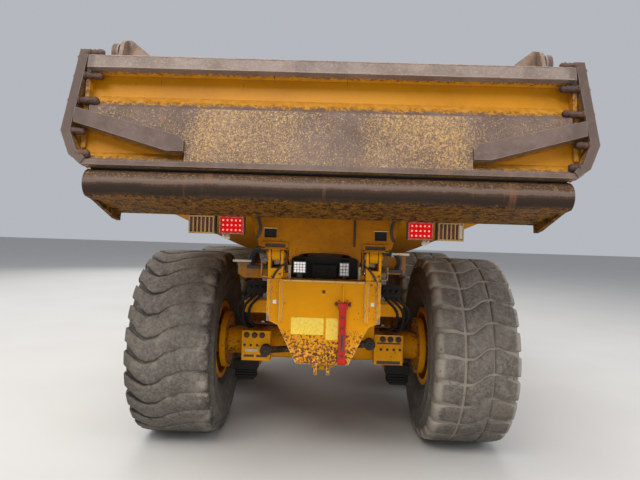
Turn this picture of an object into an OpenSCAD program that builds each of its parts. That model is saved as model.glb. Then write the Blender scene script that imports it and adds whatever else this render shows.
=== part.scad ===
// Articulated dump truck, three axles. Millimetres, +X forward, +Y left, +Z up.
// Origin: on the floor, under the middle of the overall length and width.

/* [Overall] */
// Half of the overall length, chute lip to bumper
half_len = 5120; // [5080:10:5160]
// Lateral centre of each tyre
track_half = 1197; // [1192:1:1202]

/* [Wheels] */
// Outer radius of a tyre over its lugs
tyre_r = 810; // [800:1:815]
// Width of the tread band
tread_w = 615; // [600:5:630]
// Greatest width of a tyre's side walls
tyre_w = 686; // [680:1:692]
// Radius of the rim where the bead sits
rim_r = 322; // [318:1:326]

/* [Axles] */
// Front axle, distance ahead of the origin
front_axle_x = 2450; // [2430:5:2470]
// Middle axle, distance behind the origin
mid_axle_x = 1725; // [1710:5:1740]
// Rear axle, distance behind the origin
rear_axle_x = 3395; // [3385:5:3405]
// Radius of an axle tube
axle_tube_r = 150; // [140:1:155]

/* [Articulation] */
// Steering pin, distance ahead of the origin
steer_x = 1200; // [1195:1:1205]
// Height of the hitch centre line
hitch_z = 1000; // [990:5:1010]
// Radius of the hitch's roll shaft
roll_shaft_r = 150; // [140:1:155]
// Radius of the steering pin
steer_pin_r = 60; // [50:1:65]

/* [Dump body] */
// Half width of the body over its side walls at the top
body_half_w = 1400; // [1390:1:1405]
// Height of the top edge of the side walls
body_top_z = 2790; // [2770:5:2810]
// Height of the underside of the main floor
body_floor_z = 1500; // [1495:1:1505]
// Plate thickness of the floor and walls
plate = 25; // [20:1:30]
// Height of the tipping hinge pin
tip_z = 1640; // [1635:1:1645]
// Tipping hinge pin, distance behind the origin
tip_x = 4290; // [4285:1:4295]

/* [Tailgate] */
// Forward lean of the tailgate, degrees
gate_lean = 11; // [10:0.5:12]
// Height of the tailgate along its lean
gate_h = 664; // [658:2:670]
// Height of the tailgate pivots
gate_pivot_z = 2965; // [2955:5:2975]
// Tailgate pivots, distance behind the origin
gate_pivot_x = 4560; // [4550:5:4570]

/* [Cab] */
// Half width of the cab
cab_half_w = 790; // [780:5:800]
// Height of the cab roof
cab_top_z = 3430; // [3400:10:3440]
// Thickness of the cab walls
cab_wall = 60; // [50:1:65]

/* [Hidden] */
$fn = 72;
fit_gap = 0.05;             // radial clearance of a running fit
wheel_fn = 180;
paint = [0.86, 0.60, 0.10];
steel = [0.42, 0.39, 0.38];
dark = [0.13, 0.13, 0.14];
rubber_c = [0.20, 0.19, 0.18];

// ---- helpers ----
module box3(x0, x1, y0, y1, z0, z1) translate([x0, y0, z0]) cube([x1 - x0, y1 - y0, z1 - z0]);
module cyl_x(y, z, x0, x1, r) translate([x0, y, z]) rotate([0, 90, 0]) cylinder(h = x1 - x0, r = r);
module cyl_y(x, z, y0, y1, r) translate([x, y1, z]) rotate([90, 0, 0]) cylinder(h = y1 - y0, r = r);
module cyl_z(x, y, z0, z1, r) translate([x, y, z0]) cylinder(h = z1 - z0, r = r);
// outline of (x, z) points, extruded from y0 to y1
module side_cut(pts, y0, y1) translate([0, y1, 0]) rotate([90, 0, 0]) linear_extrude(y1 - y0) polygon(pts);
// outline of (y, z) points, extruded from x0 to x1
module rear_cut(pts, x0, x1) translate([x0, 0, 0]) rotate([90, 0, 90]) linear_extrude(x1 - x0) polygon(pts);
// outline of (x, y) points, extruded from z0 to z1
module plan_cut(pts, z0, z1) translate([0, 0, z0]) linear_extrude(z1 - z0) polygon(pts);
module both_sides() { children(); mirror([0, 1, 0]) children(); }
function arc(cx, cz, r, a0, a1, n) = [for (i = [0:n]) [cx + r * cos(a0 + (a1 - a0) * i / n), cz + r * sin(a0 + (a1 - a0) * i / n)]];
function flip(pts) = [for (i = [len(pts) - 1:-1:0]) [-pts[i][0], pts[i][1]]];

// ---- wheels ----
// one wheel stands at (x, side * track_half); its own +Z is its outer side
module wheel_place(x, side) translate([x, side * track_half, tyre_r]) rotate([side > 0 ? -90 : 90, 0, 0]) children();
tread_h = tread_w / 2;
side_h = tyre_w / 2;
module tyre() color(rubber_c) rotate_extrude($fn = wheel_fn) polygon([
  [rim_r + 1, -260], [rim_r + 32, -262], [rim_r + 75, -305], [560, -side_h], [650, -side_h], [tyre_r - 60, -tread_h - 5], [tyre_r, -tread_h + 15],
  [tyre_r, tread_h - 15], [tyre_r - 60, tread_h + 5], [650, side_h], [560, side_h], [rim_r + 75, 305], [rim_r + 32, 262], [rim_r + 1, 260],
  [rim_r + 1, 215], [rim_r + 80, 262], [600, side_h - 32], [700, side_h - 60],
  [700, 60 - side_h], [600, 32 - side_h], [rim_r + 80, -262], [rim_r + 1, -215]]);
hub_bore_r = 110 + fit_gap;
module rim() color(paint) difference() {
  union() {
    rotate_extrude($fn = wheel_fn) polygon([[rim_r - 22, -285], [rim_r + 28, -285], [rim_r + 28, -265], [rim_r, -263],
      [rim_r, 263], [rim_r + 28, 265], [rim_r + 28, 285], [rim_r - 22, 285]]);
    rotate_extrude($fn = wheel_fn) polygon([[0, 20], [rim_r - 20, 60], [rim_r - 20, 90], [225, 75], [215, 190], [150, 235], [0, 235]]);
    cylinder(h = 200, r = 190, center = true, $fn = wheel_fn);
  }
  translate([0, 0, -130]) cylinder(h = 270, r = hub_bore_r, $fn = wheel_fn);
}

// ---- axles ----
// housing across the truck at (x, tyre_r); spindles run in the wheel hubs
module axle_housing(x) {
  cyl_x(0, tyre_r, x - 260, x + 260, 185);
  cyl_x(0, tyre_r, x - 100, x + 100, 215);
  cyl_y(x, tyre_r, -700, 700, axle_tube_r);
  both_sides() {
    box3(x - 170, x + 170, 470, 600, tyre_r - 130, tyre_r + 130);
    cyl_y(x, tyre_r, 690, 1010, 125);
    cyl_y(x, tyre_r, 850, 900, 250);
    cyl_y(x, tyre_r, 1000, track_half + 130, 110);
  }
}
// lateral rods, columns: x, y and height of the axle's eye, y and height of the frame's eye, side of the axle
rod_off = 330;
RODS = [[-rear_axle_x - rod_off, 481, 795, -403, 875, -1], [-mid_axle_x + rod_off, 481, 930, -403, 955, 1]];
module rod_bracket(r) box3(min(r[0] - r[5] * 30, r[0] - r[5] * 165), max(r[0] - r[5] * 30, r[0] - r[5] * 165), 446, 694, 694, 951);
module mid_axle() color(paint) { axle_housing(-mid_axle_x); both_sides() rod_bracket(RODS[1]); }
module rear_axle() color(paint) { axle_housing(-rear_axle_x); both_sides() rod_bracket(RODS[0]); }
module front_axle() color(paint) axle_housing(front_axle_x);

// ---- bogie ----
beam_y = 640;
beam_half = 50;
bogie_x = -(mid_axle_x + rear_axle_x) / 2;
beam_pivot_z = 660;
beam_pivot_r = 70;
module bogie_links() color(paint) {
  both_sides() difference() {
    side_cut([[bogie_x - 1000, 540], [bogie_x - 1000, 600], [bogie_x - 700, 640], [bogie_x - 200, 760], [bogie_x + 200, 760],
      [bogie_x + 700, 640], [bogie_x + 1000, 600], [bogie_x + 1000, 540], [bogie_x + 300, 520], [bogie_x - 300, 520]],
      beam_y - beam_half, beam_y + beam_half);
    cyl_y(bogie_x, beam_pivot_z, beam_y - 100, beam_y + 100, beam_pivot_r + 1);
  }
  // rubber mounts between beams and axle tubes
  for (x = [-mid_axle_x, -rear_axle_x]) both_sides()
    box3(x - 110, x + 110, beam_y - 45, beam_y + 45, 601, tyre_r - axle_tube_r - 1);
  for (r = RODS) {
    translate([r[0], r[3], r[4]]) rotate([-90 + atan2(r[4] - r[2], r[1] - r[3]) * -1, 0, 0]) cylinder(h = norm([r[1] - r[3], r[2] - r[4]]), r = 28);
    cyl_x(r[1], r[2], r[0] - 30, r[0] + 30, 48);
    cyl_x(r[3], r[4], r[0] - 30, r[0] + 30, 48);
  }
}
module drive_shafts() color(dark) {
  cyl_x(0, tyre_r, -mid_axle_x + 262, 250, 55);
  cyl_x(0, tyre_r, -rear_axle_x + 262, -mid_axle_x - 262, 55);
}

// ---- rear frame ----
rail_top = 1330;
hoist_y = 430;
hoist_bx = -1800;           // hoist barrel pivot
hoist_bz = 1070;
hoist_ex = -3205;           // hoist rod pin on the body
hoist_ez = 1440;
hinge_y = 356;
roll_tube_x0 = 300;
roll_tube_x1 = 890;
module rear_frame() color(paint) difference() {
  union() {
    both_sides() {
      side_cut([[-tip_x + 120, 1080], [-tip_x + 120, rail_top], [300, rail_top], [560, 1240], [560, 860], [250, 860], [-250, 1080]], 200, 300);
      // beam pivot brackets
      side_cut([[bogie_x - 130, 1090], [bogie_x + 130, 1090], [bogie_x + 80, 600], [bogie_x - 80, 600]], 180, 300);
      cyl_y(bogie_x, beam_pivot_z, 0, 720, beam_pivot_r);
      // hoist stub shafts with end caps
      cyl_y(hoist_bx, hoist_bz, 290, 492, 40);
      cyl_y(hoist_bx, hoist_bz, 290, 380, 90);
      cyl_y(hoist_bx, hoist_bz, 476, 492, 62);
      side_cut([[hoist_bx - 130, 1090], [hoist_bx + 130, 1090], [hoist_bx + 60, 990], [hoist_bx - 60, 990]], 200, 300);
      // tipping hinge ears and posts, columns: inner y, outer y
      for (b = [[300, 320], [392, 412]]) {
        cyl_y(-tip_x, tip_z, b[0], b[1], 50);
        box3(-tip_x - 48, -tip_x + 48, b[0], b[1], 1465, tip_z);
      }
      box3(-tip_x - 48, -tip_x + 48, 300, 412, 1463.5, 1540);
      box3(-tip_x + 40, -tip_x + 190, 256, 400, 1463.5, 1500);
      box3(-tip_x + 65, -tip_x + 190, 200, 400, 1300, 1464);
      // side brackets ahead of the tail box
      box3(-3950, -3780, 300, 640, 1150, 1250);
    }
    // plates that carry the frame's eye of each lateral rod
    for (r = RODS) box3(min(r[0] - r[5] * 30, r[0] - r[5] * 64), max(r[0] - r[5] * 30, r[0] - r[5] * 64), -443, -230, r[4] - 50, 1100);
    cyl_x(0, hitch_z, roll_tube_x0, roll_tube_x1, 230);
    box3(250, 560, -200, 200, 860, 1240);
  }
  cyl_x(0, hitch_z, roll_tube_x0 + 40, roll_tube_x1 + 10, roll_shaft_r + fit_gap);
  both_sides() cyl_y(-tip_x, tip_z, 200, 500, 30 + fit_gap);
}
module cross_members() color(paint)
  for (x = [-3900, -3000, -2100, -1000, -200]) box3(x - 60, x + 60, -200, 200, 1110, 1310);
tail_x = -4345;
module tail_box() color(paint) difference() {
  union() {
    // main plate with its tapered foot
    rear_cut([[-400, 1463], [400, 1463], [400, 1160], [330, 1130], [190, 852], [-190, 852], [-330, 1130], [-400, 1160]], tail_x, tail_x + 30);
    // outer posts, proud of the plate
    both_sides() {
      box3(tail_x - 20, tail_x + 120, 300, 320, 1160, 1462);
      box3(tail_x - 20, tail_x + 120, 390, 410, 1160, 1462);
      box3(tail_x + 30, tail_x + 120, 320, 390, 1160, 1440);
      rear_cut([[330, 1130], [190, 852], [160, 852], [300, 1130]], tail_x + 30, tail_x + 120);
    }
    box3(tail_x, tail_x + 120, -300, 300, 1440, 1463);
    // tow lugs under the foot
    both_sides() side_cut([[tail_x + 5, 860], [tail_x + 120, 860], [tail_x + 110, 770], [tail_x + 20, 770]], 34, 58);
  }
  cyl_y(tail_x + 62, 810, -80, 80, 21);
}
module prop_bar() color([0.75, 0.12, 0.08]) {
  box3(tail_x - 42, tail_x - 2, -166, -116, 880, 1290);
  cyl_y(tail_x - 22, 1290, -176, -106, 20);
  cyl_y(tail_x - 22, 880, -170, -112, 20);
}

// arc of a hose in the plane across the truck at x, round (y, z)
module hose_arc(x, y, z, bend, a0, a1, r) translate([x, y, z]) rotate([90, 0, 90]) rotate([0, 0, a0]) rotate_extrude(angle = a1 - a0, $fn = 96) translate([bend, 0]) circle(r = r, $fn = 24);
// hose loops beside the hinge posts, columns: place along the truck, bend radius
module frame_hoses() color(dark) both_sides() {
  box3(-4180, -4090, 400, 590, 1520, 1545);
  box3(-4180, -4090, 400.5, 412, 1430, 1530);
  for (h = [[-4165, 84], [-4135, 70], [-4105, 60]]) hose_arc(h[0], 492, 1598, h[1], -46, 226, 11);
}

// ---- hitch ----
lug_half = 35 + 5;          // half of the fork gap at a steering rod's end
module hitch_head() color(paint) difference() {
  union() {
    cyl_x(0, hitch_z, roll_tube_x0 + 60, 960, roll_shaft_r);
    cyl_x(0, hitch_z, 900, 960, 255);
    box3(950, steer_x, -105, 105, 830, 1170);
    cyl_z(steer_x, 0, 820, 1180, 130);
    // forks for the steering rods
    both_sides() for (z = [hitch_z - lug_half - 24, hitch_z + lug_half])
      plan_cut([[950, 150], [950, 240], [steer_x - 60, 365], [steer_x + 30, 365], [steer_x + 55, 330], [steer_x + 30, 255], [steer_x - 60, 240]], z, z + 24);
  }
  cyl_z(steer_x, 0, 800, 1200, steer_pin_r + fit_gap);
}

// ---- steering cylinders ----
steer_by = 340;             // barrel pivot
steer_bx = steer_x + 880;
steer_ey = 300;             // rod pin on the hitch
steer_ang = atan2(steer_ey - steer_by, steer_x - steer_bx);
steer_len = norm([steer_ey - steer_by, steer_x - steer_bx]);
module steer_dir(side) translate([steer_bx, side * steer_by, hitch_z]) rotate([0, 0, side * steer_ang]) children();
module steer_barrel(side) color(dark) steer_dir(side) difference() {
  union() {
    cyl_z(0, 0, -35, 35, 60);
    cyl_x(0, 0, 40, 120, 33);
    cyl_x(0, 0, 90, 590, 58);
    cyl_x(0, 0, 560, 600, 64);
  }
  cyl_z(0, 0, -60, 60, 25 + fit_gap);
  cyl_x(0, 0, 135, 620, 30 + 0.3);
}
module steer_rod(side) color([0.75, 0.75, 0.77]) steer_dir(side) {
  cyl_x(0, 0, 355, steer_len, 30);
  cyl_z(steer_len, 0, -35, 35, 50);
}
module steer_barrel_left() steer_barrel(1);
module steer_barrel_right() steer_barrel(-1);
module steer_rod_left() steer_rod(1);
module steer_rod_right() steer_rod(-1);

// ---- hoist cylinders ----
hoist_ang = atan2(hoist_ez - hoist_bz, hoist_ex - hoist_bx);
hoist_len = norm([hoist_ez - hoist_bz, hoist_ex - hoist_bx]);
// both cylinders lie along +X of this place, which starts at the barrel pivots
module hoist_dir() translate([hoist_bx, 0, hoist_bz]) rotate([0, -hoist_ang, 0]) children();
module hoist_barrels() color(dark) hoist_dir() both_sides() difference() {
  union() {
    cyl_y(0, 0, hoist_y - 42, hoist_y + 38, 85);
    cyl_x(hoist_y, 0, 60, 140, 36);
    cyl_x(hoist_y, 0, 118, 1290, 90);
    cyl_x(hoist_y, 0, 1250, 1310, 98);
  }
  cyl_y(0, 0, hoist_y - 80, hoist_y + 80, 40 + fit_gap);
  cyl_x(hoist_y, 0, 170, 1330, 55 + 0.3);
}
module hoist_rods() color([0.75, 0.75, 0.77]) hoist_dir() both_sides() {
  cyl_x(hoist_y, 0, 180, hoist_len - 125, 55);
  cyl_x(hoist_y, 0, hoist_len - 130, hoist_len, 33);
  cyl_y(hoist_len, 0, hoist_y - 56, hoist_y + 56, 58);
}

// ---- dump body ----
chute_x = -2100;            // where the floor starts to rise
body_rear_x = -5020;
chute_k = 0.2034;
body_front_x = 600;
front_toe_x = -100;         // where the front slope meets the floor
front_knee_z = 2350;
function chute_z(x) = body_floor_z + (chute_x - x) * chute_k;
lift = plate * 1.02;
belly_half = 620;
side_mid_y = 900;
side_mid_z = 1690;
side_low_z = 2060;
side_low_y = body_half_w - 70;
module dump_body() color(paint) {
  difference() {
    intersection() {
      rear_cut([[-belly_half, body_floor_z], [belly_half, body_floor_z], [side_mid_y, side_mid_z], [side_low_y, side_low_z], [body_half_w, body_top_z],
        [-body_half_w, body_top_z], [-side_low_y, side_low_z], [-side_mid_y, side_mid_z]], body_rear_x - 50, body_front_x + 50);
      side_cut([[front_toe_x, body_floor_z], [body_front_x, front_knee_z], [body_front_x, body_top_z],
        [body_rear_x + 185, body_top_z], [body_rear_x + 62, 2150], [body_rear_x, 2121], [body_rear_x, chute_z(body_rear_x)], [chute_x, body_floor_z]], -1500, 1500);
    }
    intersection() {
      rear_cut([[-belly_half + 8, body_floor_z + plate], [belly_half - 8, body_floor_z + plate], [side_mid_y - 16, side_mid_z + 20], [side_low_y - plate, side_low_z + 12],
        [body_half_w - plate, body_top_z + 50], [-body_half_w + plate, body_top_z + 50], [-side_low_y + plate, side_low_z + 12], [-side_mid_y + 16, side_mid_z + 20]],
        body_rear_x - 150, body_front_x + 100);
      side_cut([[front_toe_x - 12, body_floor_z + plate], [body_front_x - plate, front_knee_z + 12], [body_front_x - plate, body_top_z + 100],
        [body_rear_x - 200, body_top_z + 100], [body_rear_x - 200, chute_z(body_rear_x - 200) + lift], [chute_x, body_floor_z + lift]], -1600, 1600);
    }
  }
  both_sides() {
    // top rail outside the side wall
    box3(-4300, body_front_x, body_half_w - 12, body_half_w + 50, body_top_z - 100, body_top_z);
    // upright ribs, by their place along the truck
    for (x = [-3900, -3150, -2400, -1650, -900, -150])
      rear_cut([[side_low_y - 8, side_low_z + 5], [side_low_y + 60, side_low_z + 30], [body_half_w + 48, body_top_z - 90], [body_half_w - 14, body_top_z - 90]], x - 60, x + 60);
    // bearers on the frame
    side_cut([[-3900, rail_top + 12], [-300, rail_top + 12], [-300, body_floor_z + 2], [chute_x, body_floor_z + 2], [-3900, chute_z(-3900) + 2]], 210, 290);
    // hinge lugs with their pins, and the lug's cap
    side_cut([[-tip_x - 40, tip_z], [-tip_x + 40, tip_z], [-tip_x + 90, chute_z(-tip_x + 90) + 4], [-tip_x - 40, chute_z(-tip_x - 40) + 4]], 326, 386);
    cyl_y(-tip_x, tip_z, 326, 386, 50);
    cyl_y(-tip_x, tip_z, 290, 422, 30);
    box3(-tip_x - 112, -tip_x - 56, 256, 456, tip_z + 38, tip_z + 100);
    // hoist pin forks
    for (y = [hoist_y - 82, hoist_y + 62])
      side_cut([[hoist_ex - 60, hoist_ez - 60], [hoist_ex + 60, hoist_ez - 60], [hoist_ex + 120, chute_z(hoist_ex + 120) + 4], [hoist_ex - 120, chute_z(hoist_ex - 120) + 4]], y, y + 20);
    // ears that carry the tailgate
    side_cut(concat(arc(-gate_pivot_x, gate_pivot_z, 100, 170, 10, 10), [[-gate_pivot_x + 200, body_top_z - 4], [-gate_pivot_x - 180, body_top_z - 4]]), 1372, 1398);
    rear_cut([[1150, body_top_z - 2], [1150, gate_pivot_z - 55], [1353, gate_pivot_z + 103], [1373, gate_pivot_z + 103], [1373, body_top_z - 2]], -gate_pivot_x - 12, -gate_pivot_x + 12);
    box3(-gate_pivot_x - 180, -gate_pivot_x + 200, 1150, 1376, body_top_z - 30, body_top_z);
    cyl_y(-gate_pivot_x, gate_pivot_z, 1380, 1480, 30);
  }
  // bolster across the hinge, with its arch and two windows
  difference() {
    rear_cut([[-560, chute_z(-tip_x - 112) + 8], [560, chute_z(-tip_x - 112) + 8], [470, tip_z + 60], [-470, tip_z + 60]], -tip_x - 112, -tip_x - 88);
    both_sides() box3(-tip_x - 150, -tip_x, 350, 436, tip_z + 122, tip_z + 186);
  }
  box3(-tip_x - 100, -tip_x - 56, -300, 300, tip_z + 100, tip_z + 130);
  // arch plate between the lugs
  rear_cut(concat(arch_half, flip(arch_half)), -tip_x - 109, -tip_x - 91);
}
// half outline of the arch plate, columns: across, height
arch_half = [[258, tip_z + 66], [258, tip_z - 38], [236, tip_z - 8], [180, tip_z + 16], [112, tip_z + 28]];
module headboard() color(paint) {
  // spill guard above the front wall, leaning forward
  side_cut([[body_front_x - plate, body_top_z], [body_front_x, body_top_z], [body_front_x + 110, 3250], [body_front_x + 85, 3250]], -1250, 1250);
  both_sides() side_cut([[body_front_x, 2450], [body_front_x + 110, 2700], [body_front_x + 110, 3200], [body_front_x, body_top_z]], 380, 400);
}
lip_nose = half_len;        // rearmost point of the lip
lip_r = 88;
module chute_lip() color(steel) {
  side_cut(concat([[-4645, chute_z(-4645)], [body_rear_x, chute_z(body_rear_x)], [body_rear_x, 2140]],
    arc(-lip_nose + lip_r, 2046, lip_r, 100, 235, 12), [[-4645, 1897]]), -1392, 1392);
  both_sides() side_cut([[-4640, 1900], [-5060, 1978], [-4720, 1858], [-4650, 1846]], 1366, 1391.5);
}

// ---- rear lamps under the chute ----
lamp_x = -4600;
module rear_lamps() color([0.5, 0.1, 0.05]) both_sides() {
  // housings, columns: inner y, outer y
  for (b = [[549, 718], [745, 922]]) {
    box3(lamp_x, lamp_x + 60, b[0], b[1], 1777, 1899);
    side_cut([[lamp_x + 10, 1890], [lamp_x + 10, chute_z(lamp_x + 10)], [lamp_x + 34, chute_z(lamp_x + 34)], [lamp_x + 34, 1890]], b[0] + 20, b[1] - 20);
  }
}

module lamp_hoses() color(dark) both_sides() hose_arc(-tip_x - 124, 595, 1830, 130, 92, 214, 10);

// ---- tailgate ----
gate_x0 = -5092;            // rear face of the panel at its foot
gate_z0 = 2150;
cheek_h = gate_h + 51;
// the gate stands in this place: y across, z up its lean, -x out of its rear face
module gate_place() translate([gate_x0, 0, gate_z0]) rotate([0, gate_lean, 0]) children();
gate_in = 84;               // front face of the gate, in its own place
recess_x = 60;              // rear face of the recessed panel
rail_z = gate_h - 80;
cheek_in = [[1390, 40], [1440, 80], [1492, 200], [1438, cheek_h - 3]];
cheek_out = [[1492, cheek_h - 3], [1546, 197], [1482, 52], [1412, 4]];
module tailgate() color(paint) difference() {
  union() {
    gate_place() {
      // recessed panel
      rear_cut([[-1420, 46], [1420, 46], [1500, 200], [1450, gate_h - 12], [-1450, gate_h - 12], [-1500, 200]], recess_x, gate_in);
      // foot strip and wear plate between the ribs
      rear_cut([[-1414, 0], [1414, 0], [1450, 27], [-1450, 27]], -12, 30);
      rear_cut([[-1420, 20], [1420, 20], [1460, 60], [-1460, 60]], 24, recess_x + 2);
      rear_cut([[-823, 26], [823, 26], [823, 150], [855, 181], [1402, 315], [1402, 354], [-1402, 354], [-1402, 315], [-855, 181], [-823, 150]], -11, recess_x + 3);
      // ledges above the wear plate and above the foot
      side_cut([[-11, 352], [-11, 356], [recess_x + 1, 456], [recess_x + 1, 352]], -1404, 1404);
      both_sides() side_cut([[-10, 26], [-10, 28], [recess_x + 1, 100], [recess_x + 1, 26]], 820, 1430);
      // top rail
      box3(-45, gate_in - 1, -1426, 1426, rail_z, gate_h - 1);
      both_sides() {
        rear_cut(concat(cheek_out, cheek_in), -22, gate_in - 2);
        // slanting rib
        rear_cut([[1470, 335], [1470, 245], [1401, 225], [921, 85], [824, 85], [824, 148], [856, 179]], -40, recess_x + 2);
      }
    }
    both_sides() {
      side_cut([[-5030, 2260], [-4700, 2520], [-gate_pivot_x + 85, gate_pivot_z - 30], [-gate_pivot_x, gate_pivot_z + 78], [-gate_pivot_x - 85, gate_pivot_z - 35], [-4975, 2760]], 1424, 1448);
      cyl_y(-gate_pivot_x, gate_pivot_z, 1418, 1462, 80);
    }
  }
  both_sides() cyl_y(-gate_pivot_x, gate_pivot_z, 1300, 1600, 30 + fit_gap);
}

// ---- front frame ----
hood_hinge_x = 4890;
hood_hinge_z = 1350;
module front_frame() color(paint) {
  // clevis at the steering pin
  for (z = [700, 1210]) {
    plan_cut([[steer_x, -130], [1500, -120], [1500, 120], [steer_x, 130]], z, z + 90);
    cyl_z(steer_x, 0, z, z + 90, 130);
  }
  cyl_z(steer_x, 0, 695, 1305, steer_pin_r);
  box3(1380, 1620, -120, 120, 700, 1300);
  box3(1600, 2160, -200, 200, 760, 1300);
  box3(2140, 2184, -430, 430, 980 - 130, 1300);
  both_sides() {
    box3(2150, 4900, 300, 380, 1000, 1300);
    // forks for the steering barrels
    for (z = [hitch_z - lug_half - 24, hitch_z + lug_half])
      plan_cut([[2155, 270], [2155, 410], [steer_bx - 20, 400], [steer_bx - 60, 360], [steer_bx - 60, 320], [steer_bx - 20, 280]], z, z + 24);
    cyl_z(steer_bx, steer_by, hitch_z - lug_half - 20, hitch_z + lug_half + 20, 25);
    // cab and fender bearers
    for (x = [1750, 3050]) box3(x, x + 90, 100, 760, 1300, 1400);
    for (x = [1750, 3050]) box3(x, x + 90, 600, 760, 1400, cab_z0);
    for (x = [1750, 3050]) box3(x, x + 90, 600, 860, 1700, 1750);
    for (x = [3600, 4500]) box3(x, x + 90, 370, 800, 1265, 1300);
    // engine mounts
    for (x = [3450, 4350]) box3(x, x + 90, 270, 300, 1100, 1240);
    // axle hangers
    for (x = [front_axle_x - 60]) box3(x, x + 120, 310, 370, tyre_r + axle_tube_r, 1005);
  }
  for (x = [2730, 4700]) box3(x, x + 100, -300, 300, 1020, 1280);
  // hood hinge lugs
  both_sides() difference() {
    side_cut(concat([[hood_hinge_x - 60, 1290], [hood_hinge_x + 8, 1290]], arc(hood_hinge_x, hood_hinge_z, 42, -20, 200, 10)), 310, 350);
    cyl_y(hood_hinge_x, hood_hinge_z, 280, 400, 20 + fit_gap);
  }
}
module engine_block() color(dark) box3(3250, 4600, -270, 270, 950, 1900);
module fuel_tank() color(paint) difference() {
  box3(3520, 4250, -1400, -560, 640, 1260);
  for (x = [3520, 4250]) translate([x, -1400, 640]) rotate([0, 45, 0]) cube([130, 1700, 130], center = true);
}
module bumper() color(dark) difference() {
  plan_cut([[4900, -1350], [5020, -1350], [half_len, -900], [half_len, 900], [5020, 1350], [4900, 1350]], 620, 1190);
  // towing jaw with its pin hole
  box3(4990, half_len + 10, -75, 75, 860, 950);
  cyl_z(half_len - 60, 0, 800, 1200, 26);
}
module front_fenders() color(paint) both_sides() {
  side_cut([[1690, 1640], [1720, 1775], [3180, 1775], [3450, 1400], [3500, 1060], [3480, 1060], [3430, 1390], [3165, 1750], [1742, 1750], [1715, 1640]], 800, 1535);
  // outer nose beside the hood
  side_cut([[3470, 1400], [3200, 1775], [4340, 1775], [4700, 1700], [4870, 1500], [4870, 1260], [3490, 1260]], 800, 1400);
}
module hood() color(paint) difference() {
  intersection() {
    side_cut([[3200, 1420], [3200, 2500], [4500, 2330], [4860, 2180], [4960, 1960], [4960, 1420]], -900, 900);
    rear_cut([[-790, 1300], [790, 1300], [790, 1950], [700, 2380], [560, 2520], [-560, 2520], [-700, 2380], [-790, 1950]], 3100, 5000);
  }
  intersection() {
    side_cut([[3150, 1300], [3150, 2476], [4490, 2306], [4842, 2162], [4935, 1955], [4935, 1300]], -900, 900);
    rear_cut([[-765, 1200], [765, 1200], [765, 1950], [680, 2365], [552, 2495], [-552, 2495], [-680, 2365], [-765, 1950]], 3000, 5000);
  }
}
module grille() color(dark) {
  box3(4960, 4985, -640, 640, 1440, 1930);
  for (y = [-600, 580]) side_cut([[4960, 1440], [4985, 1440], [4985, 1396], [hood_hinge_x + 32, hood_hinge_z - 22], [hood_hinge_x - 30, hood_hinge_z + 20], [4960, 1410]], y, y + 20);
  cyl_y(hood_hinge_x, hood_hinge_z, -620, 620, 20);
}
module headlights() color([0.9, 0.9, 0.85]) both_sides()
  for (y = [960, 1180]) box3(4870, 4905, y, y + 170, 1340, 1480);
module exhaust_stack() color(dark) {
  cyl_z(3340, -960, 1775, 2150, 110);
  cyl_z(3340, -960, 2100, 3050, 60);
}

// ---- cab ----
cab_x0 = 1700;
cab_x1 = 3150;
cab_z0 = 1790;
belt_z = 2330;
win_top_z = 3220;
door_x0 = 2050;
door_x1 = 2930;
module cab_shell() color(paint) difference() {
  side_cut([[cab_x0, cab_z0], [cab_x0, cab_top_z - 60], [cab_x0 + 90, cab_top_z], [cab_x1 - 220, cab_top_z], [cab_x1 - 120, cab_top_z - 60], [cab_x1, 2450], [cab_x1, cab_z0]], -cab_half_w, cab_half_w);
  side_cut([[cab_x0 + cab_wall, cab_z0 + cab_wall], [cab_x0 + cab_wall, cab_top_z - 100], [cab_x0 + 110, cab_top_z - 60], [cab_x1 - 240, cab_top_z - 60], [cab_x1 - 178, cab_top_z - 90],
    [cab_x1 - cab_wall, 2440], [cab_x1 - cab_wall, cab_z0 + cab_wall]], -cab_half_w + cab_wall, cab_half_w - cab_wall);
  // windscreen, rear window, right side window, left rear quarter
  box3(cab_x1 - 260, cab_x1 + 50, -cab_half_w + 90, cab_half_w - 90, belt_z + 90, win_top_z);
  box3(cab_x0 - 50, cab_x0 + 100, -cab_half_w + 110, cab_half_w - 110, belt_z, win_top_z);
  side_cut([[1860, belt_z], [2960, belt_z], [2900, win_top_z], [1860, win_top_z]], -cab_half_w - 50, -cab_half_w + 100);
  box3(1800, 1980, cab_half_w - 100, cab_half_w + 50, belt_z, win_top_z);
  // door opening
  box3(door_x0 - 8, door_x1 + 8, cab_half_w - 100, cab_half_w + 50, 1870 - 8, win_top_z + 68);
}
module cab_door() color(paint) difference() {
  union() {
    box3(door_x0, door_x1, cab_half_w - 50, cab_half_w, 1870, win_top_z + 60);
    for (z = [2000, 2900]) cyl_z(door_x1 + 20, cab_half_w + 26, z, z + 120, 16);
    for (z = [2000, 2900]) box3(door_x1 - 60, door_x1 + 20, cab_half_w, cab_half_w + 20, z + 10, z + 110);
  }
  box3(door_x0 + 80, door_x1 - 80, cab_half_w - 100, cab_half_w + 15, 2140, win_top_z);
}
module cab_glass() color([0.5, 0.6, 0.65, 0.5]) {
  difference() {
    side_cut([[cab_x1 - 42, 2440], [cab_x1 - 36, 2440], [cab_x1 - 140, win_top_z - 4], [cab_x1 - 146, win_top_z - 4]], -cab_half_w + 91, cab_half_w - 91);
    box3(2800, 3300, -900, 900, 2000, belt_z + 94);
  }
  box3(cab_x0 + 24, cab_x0 + 30, -cab_half_w + 111, cab_half_w - 111, belt_z + 1, win_top_z - 1);
  side_cut([[1861, belt_z + 1], [2958, belt_z + 1], [2898, win_top_z - 1], [1861, win_top_z - 1]], -cab_half_w + 24, -cab_half_w + 30);
  box3(1801, 1979, cab_half_w - 30, cab_half_w - 24, belt_z + 1, win_top_z - 1);
}
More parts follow.
